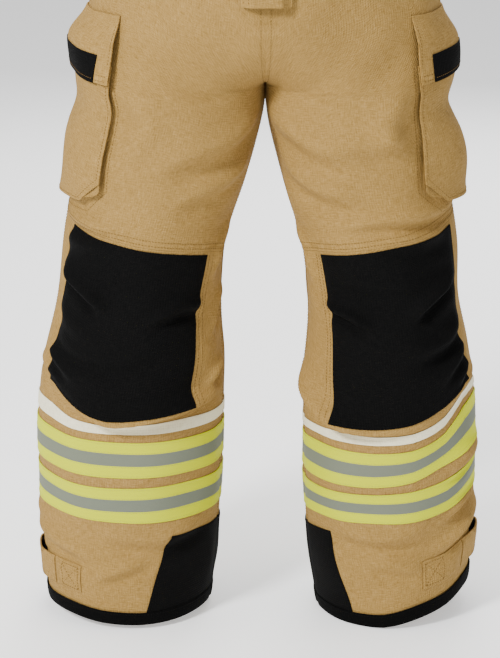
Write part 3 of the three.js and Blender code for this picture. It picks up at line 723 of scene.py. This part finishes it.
def liner(side):
    """The quilted thermal liner, hung inside the shell from waist to ankle."""
    lay("liner", side, 150, 150,
        lambda u, v: (mix(-90 + SEAM, 270 - SEAM, u), mix(0.034, WAIST_SEAM - 0.001, v)),
        inner=-0.0115, outer=-0.0095, material=lining, slot="liner", held="hung")


# ---------- knee, bands and hem ----------
PATCH_EDGE_FRONT, PATCH_EDGE_SIDE, PATCH_EDGE_LOW = -54, 61, 57


def patch_bottom(angle):
    """The patch's lower edge dips in the middle."""
    return PATCH_BOTTOM + 0.004 * ((angle - 2) / 53) ** 2


def patch_side(u, v):
    """The patch leans to the outside below the knee."""
    return mix(mix(-46, PATCH_EDGE_FRONT, v), mix(PATCH_EDGE_LOW, PATCH_EDGE_SIDE, v), u)


def puffed(lift, edge=0.06):
    """The outer face of a sewn-down patch, which lifts a little inside its edges."""
    return lambda u, v: PATCH + 0.0004 + lift * ease(np.minimum(u, 1 - u) / edge) * ease(
        np.minimum(v, 1 - v) / edge)


def knee(side):
    """The knee patch on the shell, the foam under it and the rows of stitches round them."""
    def place(u, v):
        angle = patch_side(u, v)
        return angle, mix(patch_bottom(angle), knee_seam(angle) - 0.004, v)
    lay("knee_patch", side, 90, 100, place, inner=0.0004, outer=puffed(1.6 * MM), material=black,
        slot="black_cloth", rests_on=[f"cloth_{side}_knee_front_panel"])
    lay("knee_foam", side, 40, 40, lambda u, v: (mix(-45, 55, u), mix(0.322, 0.505, v)),
        inner=-0.0085, outer=-0.0025, material=foam_cloth, slot="foam", fill=0.8)
    group = f"{side}_shell"
    for rise in (0.004, 0.0105):
        stitch(group, side, [(a, knee_seam(a) + rise) for a in np.linspace(-89, 89, 19)], 0.0003)
    inner_line = [(mix(-49, PATCH_EDGE_FRONT - 3, t), mix(PATCH_BOTTOM, 0.519, t))
                  for t in np.linspace(0.02, 1, 12)]
    stitch(group, side, inner_line, 0.0003)
    stitch(group, side, [(a - 3.4, z) for a, z in inner_line], 0.0003)
    patch_group = f"{side}_patch"
    outline = [(a, knee_seam(a) - 0.0065) for a in np.linspace(PATCH_EDGE_FRONT + 1, PATCH_EDGE_SIDE - 1, 12)]
    stitch(patch_group, side, outline, PATCH + 0.0008, material=black_thread)
    low = [(a, patch_bottom(a) + 0.0025) for a in np.linspace(-45, PATCH_EDGE_LOW - 1, 12)]
    stitch(patch_group, side, low, PATCH + 0.0008, material=black_thread)


def bands(side):
    """The cream strip and the two high-visibility tapes, all round the leg."""
    def ring(bottom, height):
        return lambda u, v: (mix(-89.4, 270.2, u), mix(bottom, bottom + height, v))
    shell_parts = [f"cloth_{side}_knee_front_panel", f"cloth_{side}_back_panel"]
    lay("cream_band", side, 240, 4, ring(CREAM_BOTTOM, CREAM_WIDTH), inner=0.0004, outer=0.0013,
        material=cream, slot="cream", rests_on=shell_parts)
    group = f"{side}_tape"
    for part, bottom in (("trim_upper", UPPER_TAPE_BOTTOM), ("trim_lower", LOWER_TAPE_BOTTOM)):
        lay(part, side, 240, 14, ring(bottom, BAND_WIDTH), inner=0.0004, outer=0.0014,
            material=tape, slot="lime", rests_on=shell_parts)
        for edge in (0.0022, BAND_WIDTH * 0.30, BAND_WIDTH * 0.70, BAND_WIDTH - 0.0022):
            stitch(group, side, [(a, bottom + edge) for a in np.linspace(-89, 270, 40)], 0.0016,
                   material=pale_thread)


def hem_binding(side):
    """Folded over the shell's lower edge: up the outside, under it and up the inside."""
    u, v = np.meshgrid(np.linspace(0, 1, 241), np.linspace(0, 1, 19))
    angle = mix(-89.6, 269.8, u)
    bend = np.clip((v - 0.42) / 0.16, 0, 1) * math.pi
    radius = 2.2 * MM
    offset = mix(radius, -radius, (1 - np.cos(bend)) / 2) - 0.75 * MM
    height = radius * (1 - np.sin(bend))
    leaf = np.maximum(0.42 - v, 0) / 0.42 + np.maximum(v - 0.58, 0) / 0.42
    z = height + leaf * (BINDING_HEIGHT - radius)
    tip = 1.0 * MM * np.stack([np.cos(bend), -np.sin(bend)])
    bulge = 0.4 * MM * np.sin(math.pi * leaf)
    outer = cloth_point(side, angle, np.maximum(z + tip[1] * 0.9, 0.0003),
                        offset + tip[0] + bulge * np.cos(bend))
    inner = cloth_point(side, angle, z, offset)
    obj = slab(f"cloth_{side}_hem_binding", outer[::-1], inner[::-1], binding_black, SIDES[side] < 0)
    flat = cloth_point(side, angle, z, offset, flat=True)
    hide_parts(f"{side}_hem_binding")
    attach(obj, "root")
    stitch(f"{side}_patch", side, [(a, BINDING_HEIGHT - 0.003) for a in np.linspace(-89, 269, 60)], 2.7 * MM,
           material=black_thread)


KICK_TURN = {"left": -19, "right": 0}


def kick_patch(side):
    """The black patch round the inner ankle, wider at its foot."""
    bottom = BINDING_HEIGHT - 0.0005
    turn = KICK_TURN[side]
    lay("kick_patch", side, 70, 40,
        lambda u, v: (mix(mix(-155, -143, v), mix(-25, -37, v), u) + turn,
                      mix(bottom, bottom + KICK_HEIGHT + 0.014 * (u - 0.6), v)),
        inner=0.0004, outer=0.0016, material=black, slot="black_cloth",
        rests_on=[f"cloth_{side}_knee_front_panel"])
    group = f"{side}_patch"
    top = bottom + KICK_HEIGHT - 0.003
    stitch(group, side, [(mix(-142, -38, t) + turn, top + 0.014 * (t - 0.6)) for t in np.linspace(0, 1, 12)],
           0.0018, material=black_thread)
    front = [(mix(-26.2, -38.2, t) + turn, mix(bottom, top, t)) for t in np.linspace(0, 1, 8)]
    stitch(group, side, front, 0.0018, material=black_thread)


# ---------- cuff strap ----------
STRAP_OUT = 5.4 * MM
ANCHOR_FRONT = {"left": 10, "right": 21}


def cuff(side):
    """The cuff strap: its sewn end, the strap with its hook strip, and the loop patch that holds it."""
    low, high = CUFF_BOTTOM, CUFF_BOTTOM + CUFF_WIDTH
    front = ANCHOR_FRONT[side]
    shell_parts = [f"cloth_{side}_knee_front_panel", f"cloth_{side}_back_panel"]
    lay("cuff_strap_anchor", side, 26, 20, lambda u, v: (mix(front, ANCHOR_END, u), mix(low, high, v)),
        inner=0.0005, outer=puffed(0.9 * MM, 0.12), material=tan, slot="shell", rests_on=shell_parts)
    lay("cuff_loop_patch", side, 60, 20,
        lambda u, v: (mix(STRAP_END - 66, STRAP_END + 14, u), mix(low - 0.002, high + 0.002, v)),
        inner=0.0004, outer=0.0015, material=pile, slot="hook_tape", rests_on=shell_parts)
    hook = lay("cuff_strap_hook", side, 40, 12,
               lambda u, v: (mix(STRAP_END - 46, STRAP_END - 2, u), mix(low + 0.004, high - 0.004, v)),
               inner=STRAP_OUT - 1.6 * MM, outer=STRAP_OUT - 0.4 * MM, material=pile, slot="hook_tape",
               body=None)

    def strap_face(u, v):
        crown = 0.5 * MM * np.sin(math.pi * v)
        return mix(0.0024, STRAP_OUT + 2.0 * MM, ease(u * 4)) + crown
    strap = lay("cuff_strap", side, 90, 20,
                lambda u, v: (mix(ANCHOR_END + 0.4, STRAP_END, u), mix(low, high, v)),
                inner=lambda u, v: mix(0.0006, STRAP_OUT, ease(u * 4)), outer=strap_face,
                material=tan, slot="shell", held="stretched", body=None)
    group = f"{side}_shell"
    start, end = front + 2, front + 17
    box = [(start, low + 0.004), (end, low + 0.004), (end, high - 0.004), (start, high - 0.004),
           (start, low + 0.004)]
    cross = [[box[0], box[2]], [box[1], box[3]]]
    for path in (box, *cross):
        stitch(group, side, path, 2.6 * MM)
    strap_group = f"{side}_cuff"
    for edge in (low + 0.0035, high - 0.0035):
        stitch(strap_group, side, [(a, edge) for a in np.linspace(ANCHOR_END + 14, STRAP_END - 2, 14)],
               STRAP_OUT + 2.2 * MM)
    stitch(strap_group, side, [(STRAP_END - 2, z) for z in np.linspace(low + 0.0035, high - 0.0035, 5)],
           STRAP_OUT + 2.2 * MM)
    return strap, hook


# ---------- cargo pocket ----------
def pocket_out(side, distance, z):
    """How far the pocket's face stands off the leg: flat at its mouth, bulging low down."""
    reach = (z - POCKET_BOTTOM) / (POCKET_MOUTH - POCKET_BOTTOM)
    low, high = (16, 7) if side == "left" else (13, 12)
    depth = mix(low, high, np.clip(reach, 0, 1)) * MM
    front = ease((distance + POCKET_WIDTH / 2) / 0.060)
    depth = depth * mix(mix(0.85, 0.45, np.clip(reach, 0, 1)), 1, front)
    middle = np.cos(np.clip(distance / (POCKET_WIDTH / 2), -1, 1) * math.pi / 2)
    bulge = np.exp(-(((z - 0.640) / 0.05) ** 2)) * (4 if side == "left" else 2)
    pinch = np.exp(-(((z - 0.716) / 0.024) ** 2)) * (5 if side == "left" else 2)
    crease = np.sin(distance / 0.021 + z / 0.03)
    return depth + ((bulge + 1.5 * crease) * middle - pinch * front) * MM


def mouth(distance):
    """The height of the pocket's mouth, which dips towards its corners."""
    return POCKET_MOUTH - POCKET_DIP * (distance / (POCKET_WIDTH / 2)) ** 2


def beside(side, distance, z):
    """The angle of a place on the pocket, which is sewn on a little forward of the side seam."""
    lean = 0.007 + 0.012 * np.clip((POCKET_MOUTH - z) / 0.2, 0, 1)
    return angle_at(side, distance - lean, z)


def pocket_face(side):
    """The pocket's face, with its lower corners cut off."""
    def spot(u, v):
        reach = POCKET_WIDTH / 2 - POCKET_CORNER * np.clip(1 - v / 0.15, 0, 1)
        distance = (2 * u - 1) * reach
        return distance, mix(FACE_BOTTOM, mouth(distance), v)

    def place(u, v):
        distance, z = spot(u, v)
        return beside(side, distance, z), z

    def out(extra):
        return lambda u, v: pocket_out(side, *spot(u, v)) + extra
    lay("pocket_face", side, 70, 80, place, inner=out(0.0), outer=out(CLOTH), material=tan,
        slot="shell", held="hung", rests_on=[f"cloth_{side}_pocket_gusset"])


def pocket_gusset(side):
    """The bellows between the leg and the pocket's face, tucked in along its middle."""
    outline = gusset_outline(POCKET_WIDTH / 2)
    steps = 150
    fine = np.linspace(0, len(outline) - 1, steps + 1)
    distance = np.interp(fine, range(len(outline)), outline[:, 0])
    height = np.interp(fine, range(len(outline)), outline[:, 1])
    v = np.repeat(np.linspace(0, 1, 13)[:, None], steps + 1, 1)
    tuck = (4 * (1 - v) + 14 * np.sin(math.pi * v) ** 0.8) * MM
    low = ease((POCKET_BOTTOM + POCKET_CORNER - height) / POCKET_CORNER)
    way_x, way_z = -distance, mix(POCKET_BOTTOM, POCKET_MOUTH, 0.5) - height
    size = np.hypot(way_x, way_z)

    def shifted(inset):
        d = distance + way_x / size * (tuck + inset)
        z = height + way_z / size * (tuck + inset) + (FACE_BOTTOM - POCKET_BOTTOM) * v * low
        angle = beside(side, d, z)
        depth = mix(0.3 * MM, pocket_out(side, d, z) - 0.3 * MM, v)
        return cloth_point(side, angle, z, depth), cloth_point(side, angle, z, depth, flat=True)
    outer, flat = shifted(0.6 * MM)
    inner, _ = shifted(1.9 * MM)
    obj = slab(f"cloth_{side}_pocket_gusset", outer, inner, tan, SIDES[side] > 0)
    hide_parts(f"{side}_pocket_gusset")
    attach(obj, "root")


def stitch_pocket(side):
    """One row of stitches on the leg round the gusset, and one along the face's rim."""
    group = f"{side}_shell"
    sewn = gusset_outline(POCKET_WIDTH / 2 + 0.004)
    stitch(group, side, [(float(beside(side, d, z)), z) for d, z in sewn], 0.0004)
    rim = gusset_outline(POCKET_WIDTH / 2 - 0.004, FACE_BOTTOM + 0.003)
    fine = np.linspace(0, len(rim) - 1, 220)
    d = np.interp(fine, range(len(rim)), rim[:, 0])
    z = np.interp(fine, range(len(rim)), rim[:, 1])
    out = pocket_out(side, d, z) + CLOTH + 0.0002
    angle = beside(side, d, z)
    line = cloth_point(side, angle, z, out)
    stitch_line(group, line, cloth_point(side, angle, z, out + 0.001) - line)


def gusset_outline(half, bottom=POCKET_BOTTOM):
    """The pocket's outline from its front mouth down, under and up to its rear mouth."""
    top = POCKET_MOUTH - POCKET_DIP - 0.001
    down = [(-half, z) for z in np.linspace(top, bottom + POCKET_CORNER, 6)]
    under = [(d, bottom + 0.0005) for d in np.linspace(-half + POCKET_CORNER, half - POCKET_CORNER, 9)]
    return np.array(down + under + [(-d, z) for d, z in reversed(down)])


FACE_TO_FLAP = CLOTH + 3.0 * MM
TAPE_RISE, TAPE_WIDTH = 0.006, 0.018


def flap_low(distance):
    """The flap's lower edge, which slants up to the rear."""
    return FLAP_LOW + FLAP_SLANT * (distance / FLAP_WIDTH + 0.5)


def flap_out(side, distance, z, extra):
    """How far the flap stands off the leg: sewn down at its top, over the pocket's face below, and curled."""
    across = distance / FLAP_WIDTH + 0.5
    up = (z - flap_low(distance)) / (FLAP_HINGE - flap_low(distance))
    curl = (1.5 * np.sin(across * 9 + 1) + 2.0 * np.abs(2 * across - 1) ** 4) * (1 - up) * MM
    hang = pocket_out(side, distance, z) + FACE_TO_FLAP + curl
    return mix(1.0 * MM, hang, ease((FLAP_HINGE - z) / 0.040)) + extra


def above_edge(width, bottom, height):
    """A strip along the flap's lower edge, as a distance and a height for each share across and up."""
    def spot(u, v):
        distance = (u - 0.5) * width
        return distance, flap_low(distance) + bottom + height * v
    return spot


def lay_beside(part, side, across, up, spot, stand_off, inner, outer, **finish):
    """Lays a piece by its distances from the side seam; stand_off gives how far it is from the leg."""
    def place(u, v):
        distance, z = spot(u, v)
        return beside(side, distance, z), z
    return lay(part, side, across, up, place, inner=lambda u, v: stand_off(side, *spot(u, v), inner),
               outer=lambda u, v: stand_off(side, *spot(u, v), outer), **finish)


def flap(side):
    """The pocket's flap, the black patch on it, and the strips that close it on the face."""
    def whole(u, v):
        distance = (u - 0.5) * FLAP_WIDTH
        return distance, mix(flap_low(distance), FLAP_HINGE, v)

    def on_face(side, distance, z, extra):
        return pocket_out(side, distance, z) + CLOTH + extra
    cover = lay_beside("pocket_flap", side, 80, 46, whole, flap_out, 0.0, CLOTH + 0.3 * MM, material=tan,
                       slot="shell", held="hung", body=None)
    patch = lay_beside("flap_patch", side, 60, 16, above_edge(0.150, -0.0005, 0.034), flap_out,
                       CLOTH + 0.6 * MM, CLOTH + 1.7 * MM, material=black, slot="black_cloth", body=None)
    hook = lay_beside("flap_hook_tape", side, 40, 8, above_edge(0.110, TAPE_RISE, TAPE_WIDTH), flap_out,
                      -1.2 * MM, -0.2 * MM, material=pile, slot="hook_tape", body=None)
    lay_beside("pocket_loop_tape", side, 40, 8, above_edge(0.116, TAPE_RISE, TAPE_WIDTH), on_face,
               0.2 * MM, 1.0 * MM, material=pile, slot="hook_tape", rests_on=[f"cloth_{side}_pocket_face"])
    return cover, patch, hook


def stitch_flap(side):
    """Rows along the flap's lower edge on both sides of its patch, up its two ends, and on the patch."""
    half = FLAP_WIDTH / 2

    def run(distance, z, extra):
        offset = flap_out(side, distance, z, CLOTH + extra)
        angle = beside(side, distance, z)
        line = cloth_point(side, angle, z, offset)
        stitch_line(f"{side}_flap", line, cloth_point(side, angle, z, offset + 0.001) - line)
    whole = np.linspace(-half + 0.003, half - 0.003, 60)
    for edge in (0.0035, 0.010):
        for part in (whole[whole < -0.075], whole[whole > 0.075]):
            run(part, flap_low(part) + edge, 0.5 * MM)
    ends = np.linspace(0.776, 0.826, 20)
    for way in (-1, 1):
        run(0 * ends + way * (half - 0.0035), ends, 0.5 * MM)
    middle = np.linspace(-0.073, 0.073, 40)
    run(middle, flap_low(middle) + 0.0045, 1.9 * MM)


# ---------- waist ----------
def waistband(side):
    """Half of the turned-over waistband, puckered where the side strap gathers it."""
    u, v = np.meshgrid(np.linspace(0, 1, 161), np.linspace(0, 1, 25))
    angle, z = mix(-90 + SEAM, 270 - SEAM, u), mix(WAIST_SEAM, TOP, v)
    roll = np.sqrt(np.clip(1 - (2 * v - 1) ** 8, 0, 1))
    pucker = 0.5 * MM * np.sin(angle * 1.1) * ease((angle - 60) / 30) * ease((240 - angle) / 30)
    outer = cloth_point(side, angle, z, (1.2 * MM + pucker) * roll, flat=True)
    inner = cloth_point(side, angle, z, -2.6 * MM * roll - 0.1 * MM, flat=True)
    obj = slab(f"cloth_{side}_waistband", outer, inner, tan, SIDES[side] < 0)
    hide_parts(f"{side}_waistband")
    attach(obj, "root")
    for height in (WAIST_SEAM + 0.004, TOP - 0.005):
        a = np.linspace(-88, 268, 90)
        line = cloth_point(side, a, 0 * a + height, 1.6 * MM, flat=True)
        stitch_line(f"{side}_shell", line, cloth_point(side, a, 0 * a + height, 3 * MM, flat=True) - line)


def side_strap(side):
    """Webbing strap with a folded end, through its buckle. It follows the hip as far as its slide lets it."""
    low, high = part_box(f"{side}_waist_strap")
    centre = (low + high) / 2
    way = SIDES[side]
    u, v = np.meshgrid(np.linspace(0, 1, 61), np.linspace(0, 1, 13))
    y = mix(low.y + 0.001, high.y - 0.001, u)
    z = mix(low.z + 0.0004, high.z - 0.0004, v)
    rib = 0.15 * MM * np.sin(v * 40)
    hip_width, hip_depth = section_at(HIP_SECTIONS, np.array(centre.z))
    along = y - HIP_SET_BACK
    along = np.where(along < 0, np.minimum(along + TAKE_UP, 0), along)
    face = abs(centre.x) - 1.9 * MM - hip_width * (1 - np.sqrt(1 - (along / hip_depth) ** 2))
    thick = 1.5 * MM + 1.9 * MM * (1 - ease((y - low.y - 0.004) / 0.004))
    outer = np.stack([way * (face + 0.2 * MM + thick + rib), y, z], -1)
    inner = np.stack([way * (face + 0.2 * MM + rib), y, z], -1)
    obj = slab(f"cloth_{side}_waist_strap", outer, inner, webbing, way < 0)
    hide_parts(f"{side}_waist_strap")
    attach(obj, f"{side}_strap")


# ---------- hardware ----------
def finish_piece(name, material, node, body, bevel=0.0):
    """Bevels the active object, smooths it, puts its place in its mesh and lets it ride on a body."""
    obj = bpy.context.active_object
    obj.name = name
    if bevel:
        modifier = obj.modifiers.new("edges", "BEVEL")
        modifier.width = bevel
        modifier.segments = 3
        modifier.limit_method = "ANGLE"
        bpy.ops.object.modifier_apply(modifier=modifier.name)
    bpy.ops.object.transform_apply(location=True, rotation=True, scale=True)
    bpy.ops.object.shade_smooth_by_angle(angle=math.radians(40))
    obj.data.materials.clear()
    obj.data.materials.append(material)
    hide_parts(node)
    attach(obj, body)
    bpy.ops.object.select_all(action="DESELECT")


def turned(profile, foot, out):
    """A round fastener spun from its profile of (radius, height) in mm, standing on foot and facing out."""
    mesh = bpy.data.meshes.new("turned")
    obj = bpy.data.objects.new("turned", mesh)
    bpy.context.scene.collection.objects.link(obj)
    bpy.context.view_layer.objects.active = obj
    obj.select_set(True)
    shape = bmesh.new()
    points = [shape.verts.new((r * MM, 0, h * MM)) for r, h in profile]
    edges = [shape.edges.new(pair) for pair in zip(points[:-1], points[1:])]
    bmesh.ops.spin(shape, geom=points + edges, cent=(0, 0, 0), axis=(0, 0, 1), angle=2 * math.pi,
                   steps=40, use_merge=True)
    bmesh.ops.remove_doubles(shape, verts=shape.verts, dist=1e-7)
    bmesh.ops.recalc_face_normals(shape, faces=shape.faces)
    shape.to_mesh(mesh)
    shape.free()
    obj.rotation_mode = "QUATERNION"
    obj.rotation_quaternion = Vector(out).to_track_quat("Z", "Y")
    obj.location = foot
    return obj


def middle_of(node):
    """The middle of a frame node's box, and the box's size."""
    low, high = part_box(node)
    return (low + high) / 2, high - low


def suspender_buttons():
    """Four dished metal buttons on the waistband, two in front and two behind."""
    profile = [(0, 0), (3.5, 0), (3.2, 2.4), (4.2, 3.0), (8.2, 3.0), (9.0, 3.6), (8.8, 4.4), (7.6, 4.8),
               (6.6, 4.5), (6.0, 4.5), (5.0, 5.3), (0, 5.6)]
    for node in ("button_front_left", "button_front_right", "button_back_left", "button_back_right"):
        side = "left" if node.endswith("left") else "right"
        angle = -22 if "front" in node else 228
        z = TOP - 0.017
        foot = cloth_point(side, angle, z, 1.8 * MM, flat=True)
        out = cloth_point(side, angle, z, 2.8 * MM, flat=True) - foot
        turned(profile, Vector(foot), Vector(out))
        finish_piece(f"metal_{node}", dark_steel, node, "root")


def buckles():
    """Moulded loops that the side straps slide through."""
    for side in SIDES:
        node = f"{side}_waist_buckle"
        centre, size = middle_of(node)
        bpy.ops.mesh.primitive_cube_add(size=1, location=centre)
        bpy.context.active_object.scale = size
        bpy.ops.object.transform_apply(location=True, rotation=False, scale=True)
        bpy.ops.object.mode_set(mode="EDIT")
        shape = bmesh.from_edit_mesh(bpy.context.active_object.data)
        for face in shape.faces:
            face.select = abs(face.normal.y) > 0.9
        bmesh.update_edit_mesh(bpy.context.active_object.data)
        bpy.ops.mesh.inset(thickness=1.55 * MM)
        bpy.ops.mesh.bridge_edge_loops()
        bpy.ops.object.mode_set(mode="OBJECT")
        finish_piece(f"moulded_{node}", moulded, node, "root", bevel=0.0005)


def zip_tapes():
    """The zip's two tapes and the teeth along them."""
    for side in SIDES:
        node = f"zip_tape_{side}"
        low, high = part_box(node)
        way = SIDES[side]
        edge = low.x if way > 0 else high.x
        far = high.x if way > 0 else low.x
        u, v = np.meshgrid(np.linspace(0, 1, 9), np.linspace(0, 1, 60))
        x = mix(edge + way * 0.0003, far, u)
        z = mix(low.z, high.z, v)
        back = high.y
        outer = np.stack([x, 0 * x + back - 0.9 * MM, z], -1)
        inner = np.stack([x, 0 * x + back, z], -1)
        obj = slab(f"cloth_{node}", outer, inner, webbing, way < 0)
        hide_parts(node)
        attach(obj, "root")
        teeth(side, edge, way, low, high)


def teeth(side, edge, way, low, high):
    """One moulded tooth, copied up the tape, half a pitch apart on the two sides."""
    pitch = 2.6 * MM
    bpy.ops.mesh.primitive_cube_add(size=1, location=(edge + way * 1.4 * MM, low.y + 1.5 * MM, 0))
    tooth = bpy.context.active_object
    tooth.scale = (2.4 * MM, 2.0 * MM, 1.3 * MM)
    bpy.ops.object.transform_apply(location=True, rotation=True, scale=True)
    rounding = tooth.modifiers.new("edges", "BEVEL")
    rounding.width = 0.25 * MM
    rounding.segments = 1
    bpy.ops.object.modifier_apply(modifier=rounding.name)
    points = np.array([v.co for v in tooth.data.vertices])
    faces = [tuple(f.vertices) for f in tooth.data.polygons]
    bpy.data.objects.remove(tooth)
    start = low.z + pitch * (0.5 if side == "left" else 1.0)
    heights = np.arange(start, high.z - pitch / 2, pitch)
    everyone = np.concatenate([points + (0, 0, h) for h in heights])
    copies = [tuple(i + n * len(points) for i in f) for n in range(len(heights)) for f in faces]
    obj = mesh_object(f"zip_teeth_{side}", everyone, copies, moulded)
    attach(obj, "root")


def fly_flap():
    """The storm flap over the zip: sewn down along one edge, with two rows of stitches near the other."""
    low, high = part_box("fly_flap")

    def back_at(x):
        edge = ease(np.clip((high.x - np.abs(x)) / 0.014, 0, 1))
        return mix(high.y - CLOTH, low.y + CLOTH, edge), edge
    u, v = np.meshgrid(np.linspace(0, 1, 61), np.linspace(0, 1, 81))
    x = mix(low.x, high.x, u)
    z = mix(low.z, high.z, v)
    back, edge = back_at(x)
    ripple = 0.5 * MM * np.sin(z / 0.017) * edge
    outer = np.stack([x, back - CLOTH + ripple, z], -1)
    inner = np.stack([x, back + ripple, z], -1)
    obj = slab("cloth_fly_flap", outer, inner, tan, False)
    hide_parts("fly_flap")
    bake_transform(obj)
    z = np.linspace(low.z + 0.004, high.z - 0.004, 30)
    for inset in (0.004, 0.010):
        x = 0 * z + low.x + inset
        back, edge = back_at(x)
        ripple = 0.5 * MM * np.sin(z / 0.017) * edge
        line = np.stack([x, back - CLOTH - 0.0002 + ripple, z], 1)
        stitch_line("fly", line, line * 0 + (0, -1, 0))
    sew("fly", "fly")


def waist_tab():
    """The tab that closes the waistband over the fly, with a row of stitches inside its edge."""
    low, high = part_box("waist_tab")
    u, v = np.meshgrid(np.linspace(0, 1, 41), np.linspace(0, 1, 25))
    x = mix(low.x, high.x, u)
    point = np.clip((x - low.x) / 0.010, 0, 1)
    half = (high.z - low.z) / 2 * (0.72 + 0.28 * np.sqrt(point))
    z = (low.z + high.z) / 2 + (2 * v - 1) * half
    outer = np.stack([x, 0 * x + low.y, z], -1)
    inner = np.stack([x, 0 * x + high.y, z], -1)
    obj = slab("cloth_waist_tab", outer, inner, tan, False)
    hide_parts("waist_tab")
    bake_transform(obj)
    ring = [(low.x + 0.008, low.z + 0.003), (high.x - 0.003, low.z + 0.003), (high.x - 0.003, high.z - 0.003),
            (low.x + 0.008, high.z - 0.003), (low.x + 0.004, high.z - 0.008), (low.x + 0.004, low.z + 0.008),
            (low.x + 0.008, low.z + 0.003)]
    fine = np.linspace(0, len(ring) - 1, 200)
    xs = np.interp(fine, range(len(ring)), [p[0] for p in ring])
    zs = np.interp(fine, range(len(ring)), [p[1] for p in ring])
    line = np.stack([xs, 0 * xs + low.y - 0.0002, zs], 1)
    stitch_line("tab", line, line * 0 + (0, -1, 0))
    obj = sew("tab", None)
    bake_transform(obj)


def snaps():
    """The snap's domed cap on the tab, and the stud that it presses on to."""
    cap = [(0, 0), (7.4, 0), (7.5, 0.7), (6.9, 1.6), (5.6, 2.2), (4.2, 2.4), (3.6, 2.1), (2.6, 2.5), (0, 2.8)]
    stud = [(0, 0), (7.4, 0), (7.2, 0.5), (3.0, 0.6), (2.2, 0.8), (2.4, 1.1), (0, 1.28)]
    for node, body, profile in (("snap_cap", "tab", cap), ("snap_stud", "root", stud)):
        centre, size = middle_of(node)
        turned(profile, Vector((centre.x, centre.y + size.y / 2, centre.z)), Vector((0, -1, 0)))
        finish_piece(f"metal_{node}", steel, node, body)


def zip_metal():
    """The slider and its pull keep the frame's shapes, with a brass finish."""
    for node in ("zip_slider", "zip_pull"):
        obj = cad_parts[node]
        obj.data.materials.clear()
        obj.data.materials.append(brass)


# ---------- camera, floor and light ----------
def camera():
    """A long lens in front of the legs, a little above them."""
    data = bpy.data.cameras.new("camera")
    data.lens = 131
    data.sensor_width = 36
    eye = bpy.data.objects.new("camera", data)
    bpy.context.scene.collection.objects.link(eye)
    eye.location = (-0.02, -3.1, 1.37)
    aim = Vector((-0.02, 0, 0.396)) - eye.location
    eye.rotation_euler = aim.to_track_quat("-Z", "Y").to_euler()
    bpy.context.scene.camera = eye


def area_light(name, place, aim, size, power):
    """A round soft light at a place, turned to what it lights."""
    data = bpy.data.lights.new(name, "AREA")
    data.shape = "DISK"
    data.size = size
    data.energy = power
    lamp = bpy.data.objects.new(name, data)
    bpy.context.scene.collection.objects.link(lamp)
    lamp.location = place
    lamp.rotation_euler = (Vector(aim) - Vector(place)).to_track_quat("-Z", "Y").to_euler()


def studio():
    """A pale floor, a key light from the left, and soft light from the other sides."""
    bpy.ops.mesh.primitive_plane_add(size=14, location=(0, 2.0, -0.0005))
    floor = bpy.context.active_object
    floor.name = "studio_floor"
    material, tree, shader = new_material("pale_floor", 0.9)
    shader.inputs["Base Color"].default_value = (0.94, 0.94, 0.94, 1)
    shader.inputs["Emission Color"].default_value = (1, 1, 1, 1)
    shader.inputs["Emission Strength"].default_value = 0.45
    floor.data.materials.append(material)
    bpy.ops.object.select_all(action="DESELECT")
    area_light("key", (-1.9, -2.2, 2.5), (0, 0, 0.5), 0.8, 170)
    area_light("fill", (1.9, -2.6, 1.3), (0, 0, 0.45), 2.0, 14)
    area_light("top", (0, 0.4, 3.2), (0, 0, 0.5), 2.4, 70)
    area_light("rear", (0.4, 2.8, 1.8), (0, 0, 0.5), 2.0, 60)
    world = bpy.data.worlds.new("studio_light")
    world.use_nodes = True
    world.node_tree.nodes["Background"].inputs["Color"].default_value = (1, 1, 1, 1)
    world.node_tree.nodes["Background"].inputs["Strength"].default_value = 0.6
    bpy.context.scene.world = world


def hang_flap(side):
    """The flap, its strips and its stitches, each with its place baked into its mesh."""
    pieces = list(flap(side))
    stitch_flap(side)
    for piece in (*pieces, sew(f"{side}_flap", None)):
        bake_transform(piece)


def hang_cuff_strap(side):
    """The cuff strap, its hook strip and its stitches, each with its place baked into its mesh."""
    pieces = list(cuff(side))
    middle = CUFF_BOTTOM + CUFF_WIDTH / 2
    start = Vector(cloth_point(side, ANCHOR_END, middle, 0.003))
    end = Vector(cloth_point(side, ANCHOR_END + 14, middle, 0.003))
    for piece in (*pieces, sew(f"{side}_cuff", None)):
        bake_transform(piece)


# ---------- putting it together ----------
camera()
studio()
for leg in SIDES:
    shell_panels(leg)
    liner(leg)
    knee(leg)
    bands(leg)
    hem_binding(leg)
    kick_patch(leg)
    pocket_face(leg)
    pocket_gusset(leg)
    stitch_pocket(leg)
    waistband(leg)
    side_strap(leg)
    hang_flap(leg)
    hang_cuff_strap(leg)
    stitch_seams(leg)
    sew(f"{leg}_shell", "root")
    sew(f"{leg}_patch", "root")
    sew(f"{leg}_tape", "root")
zip_tapes()
fly_flap()
waist_tab()
snaps()
zip_metal()
suspender_buttons()
buckles()
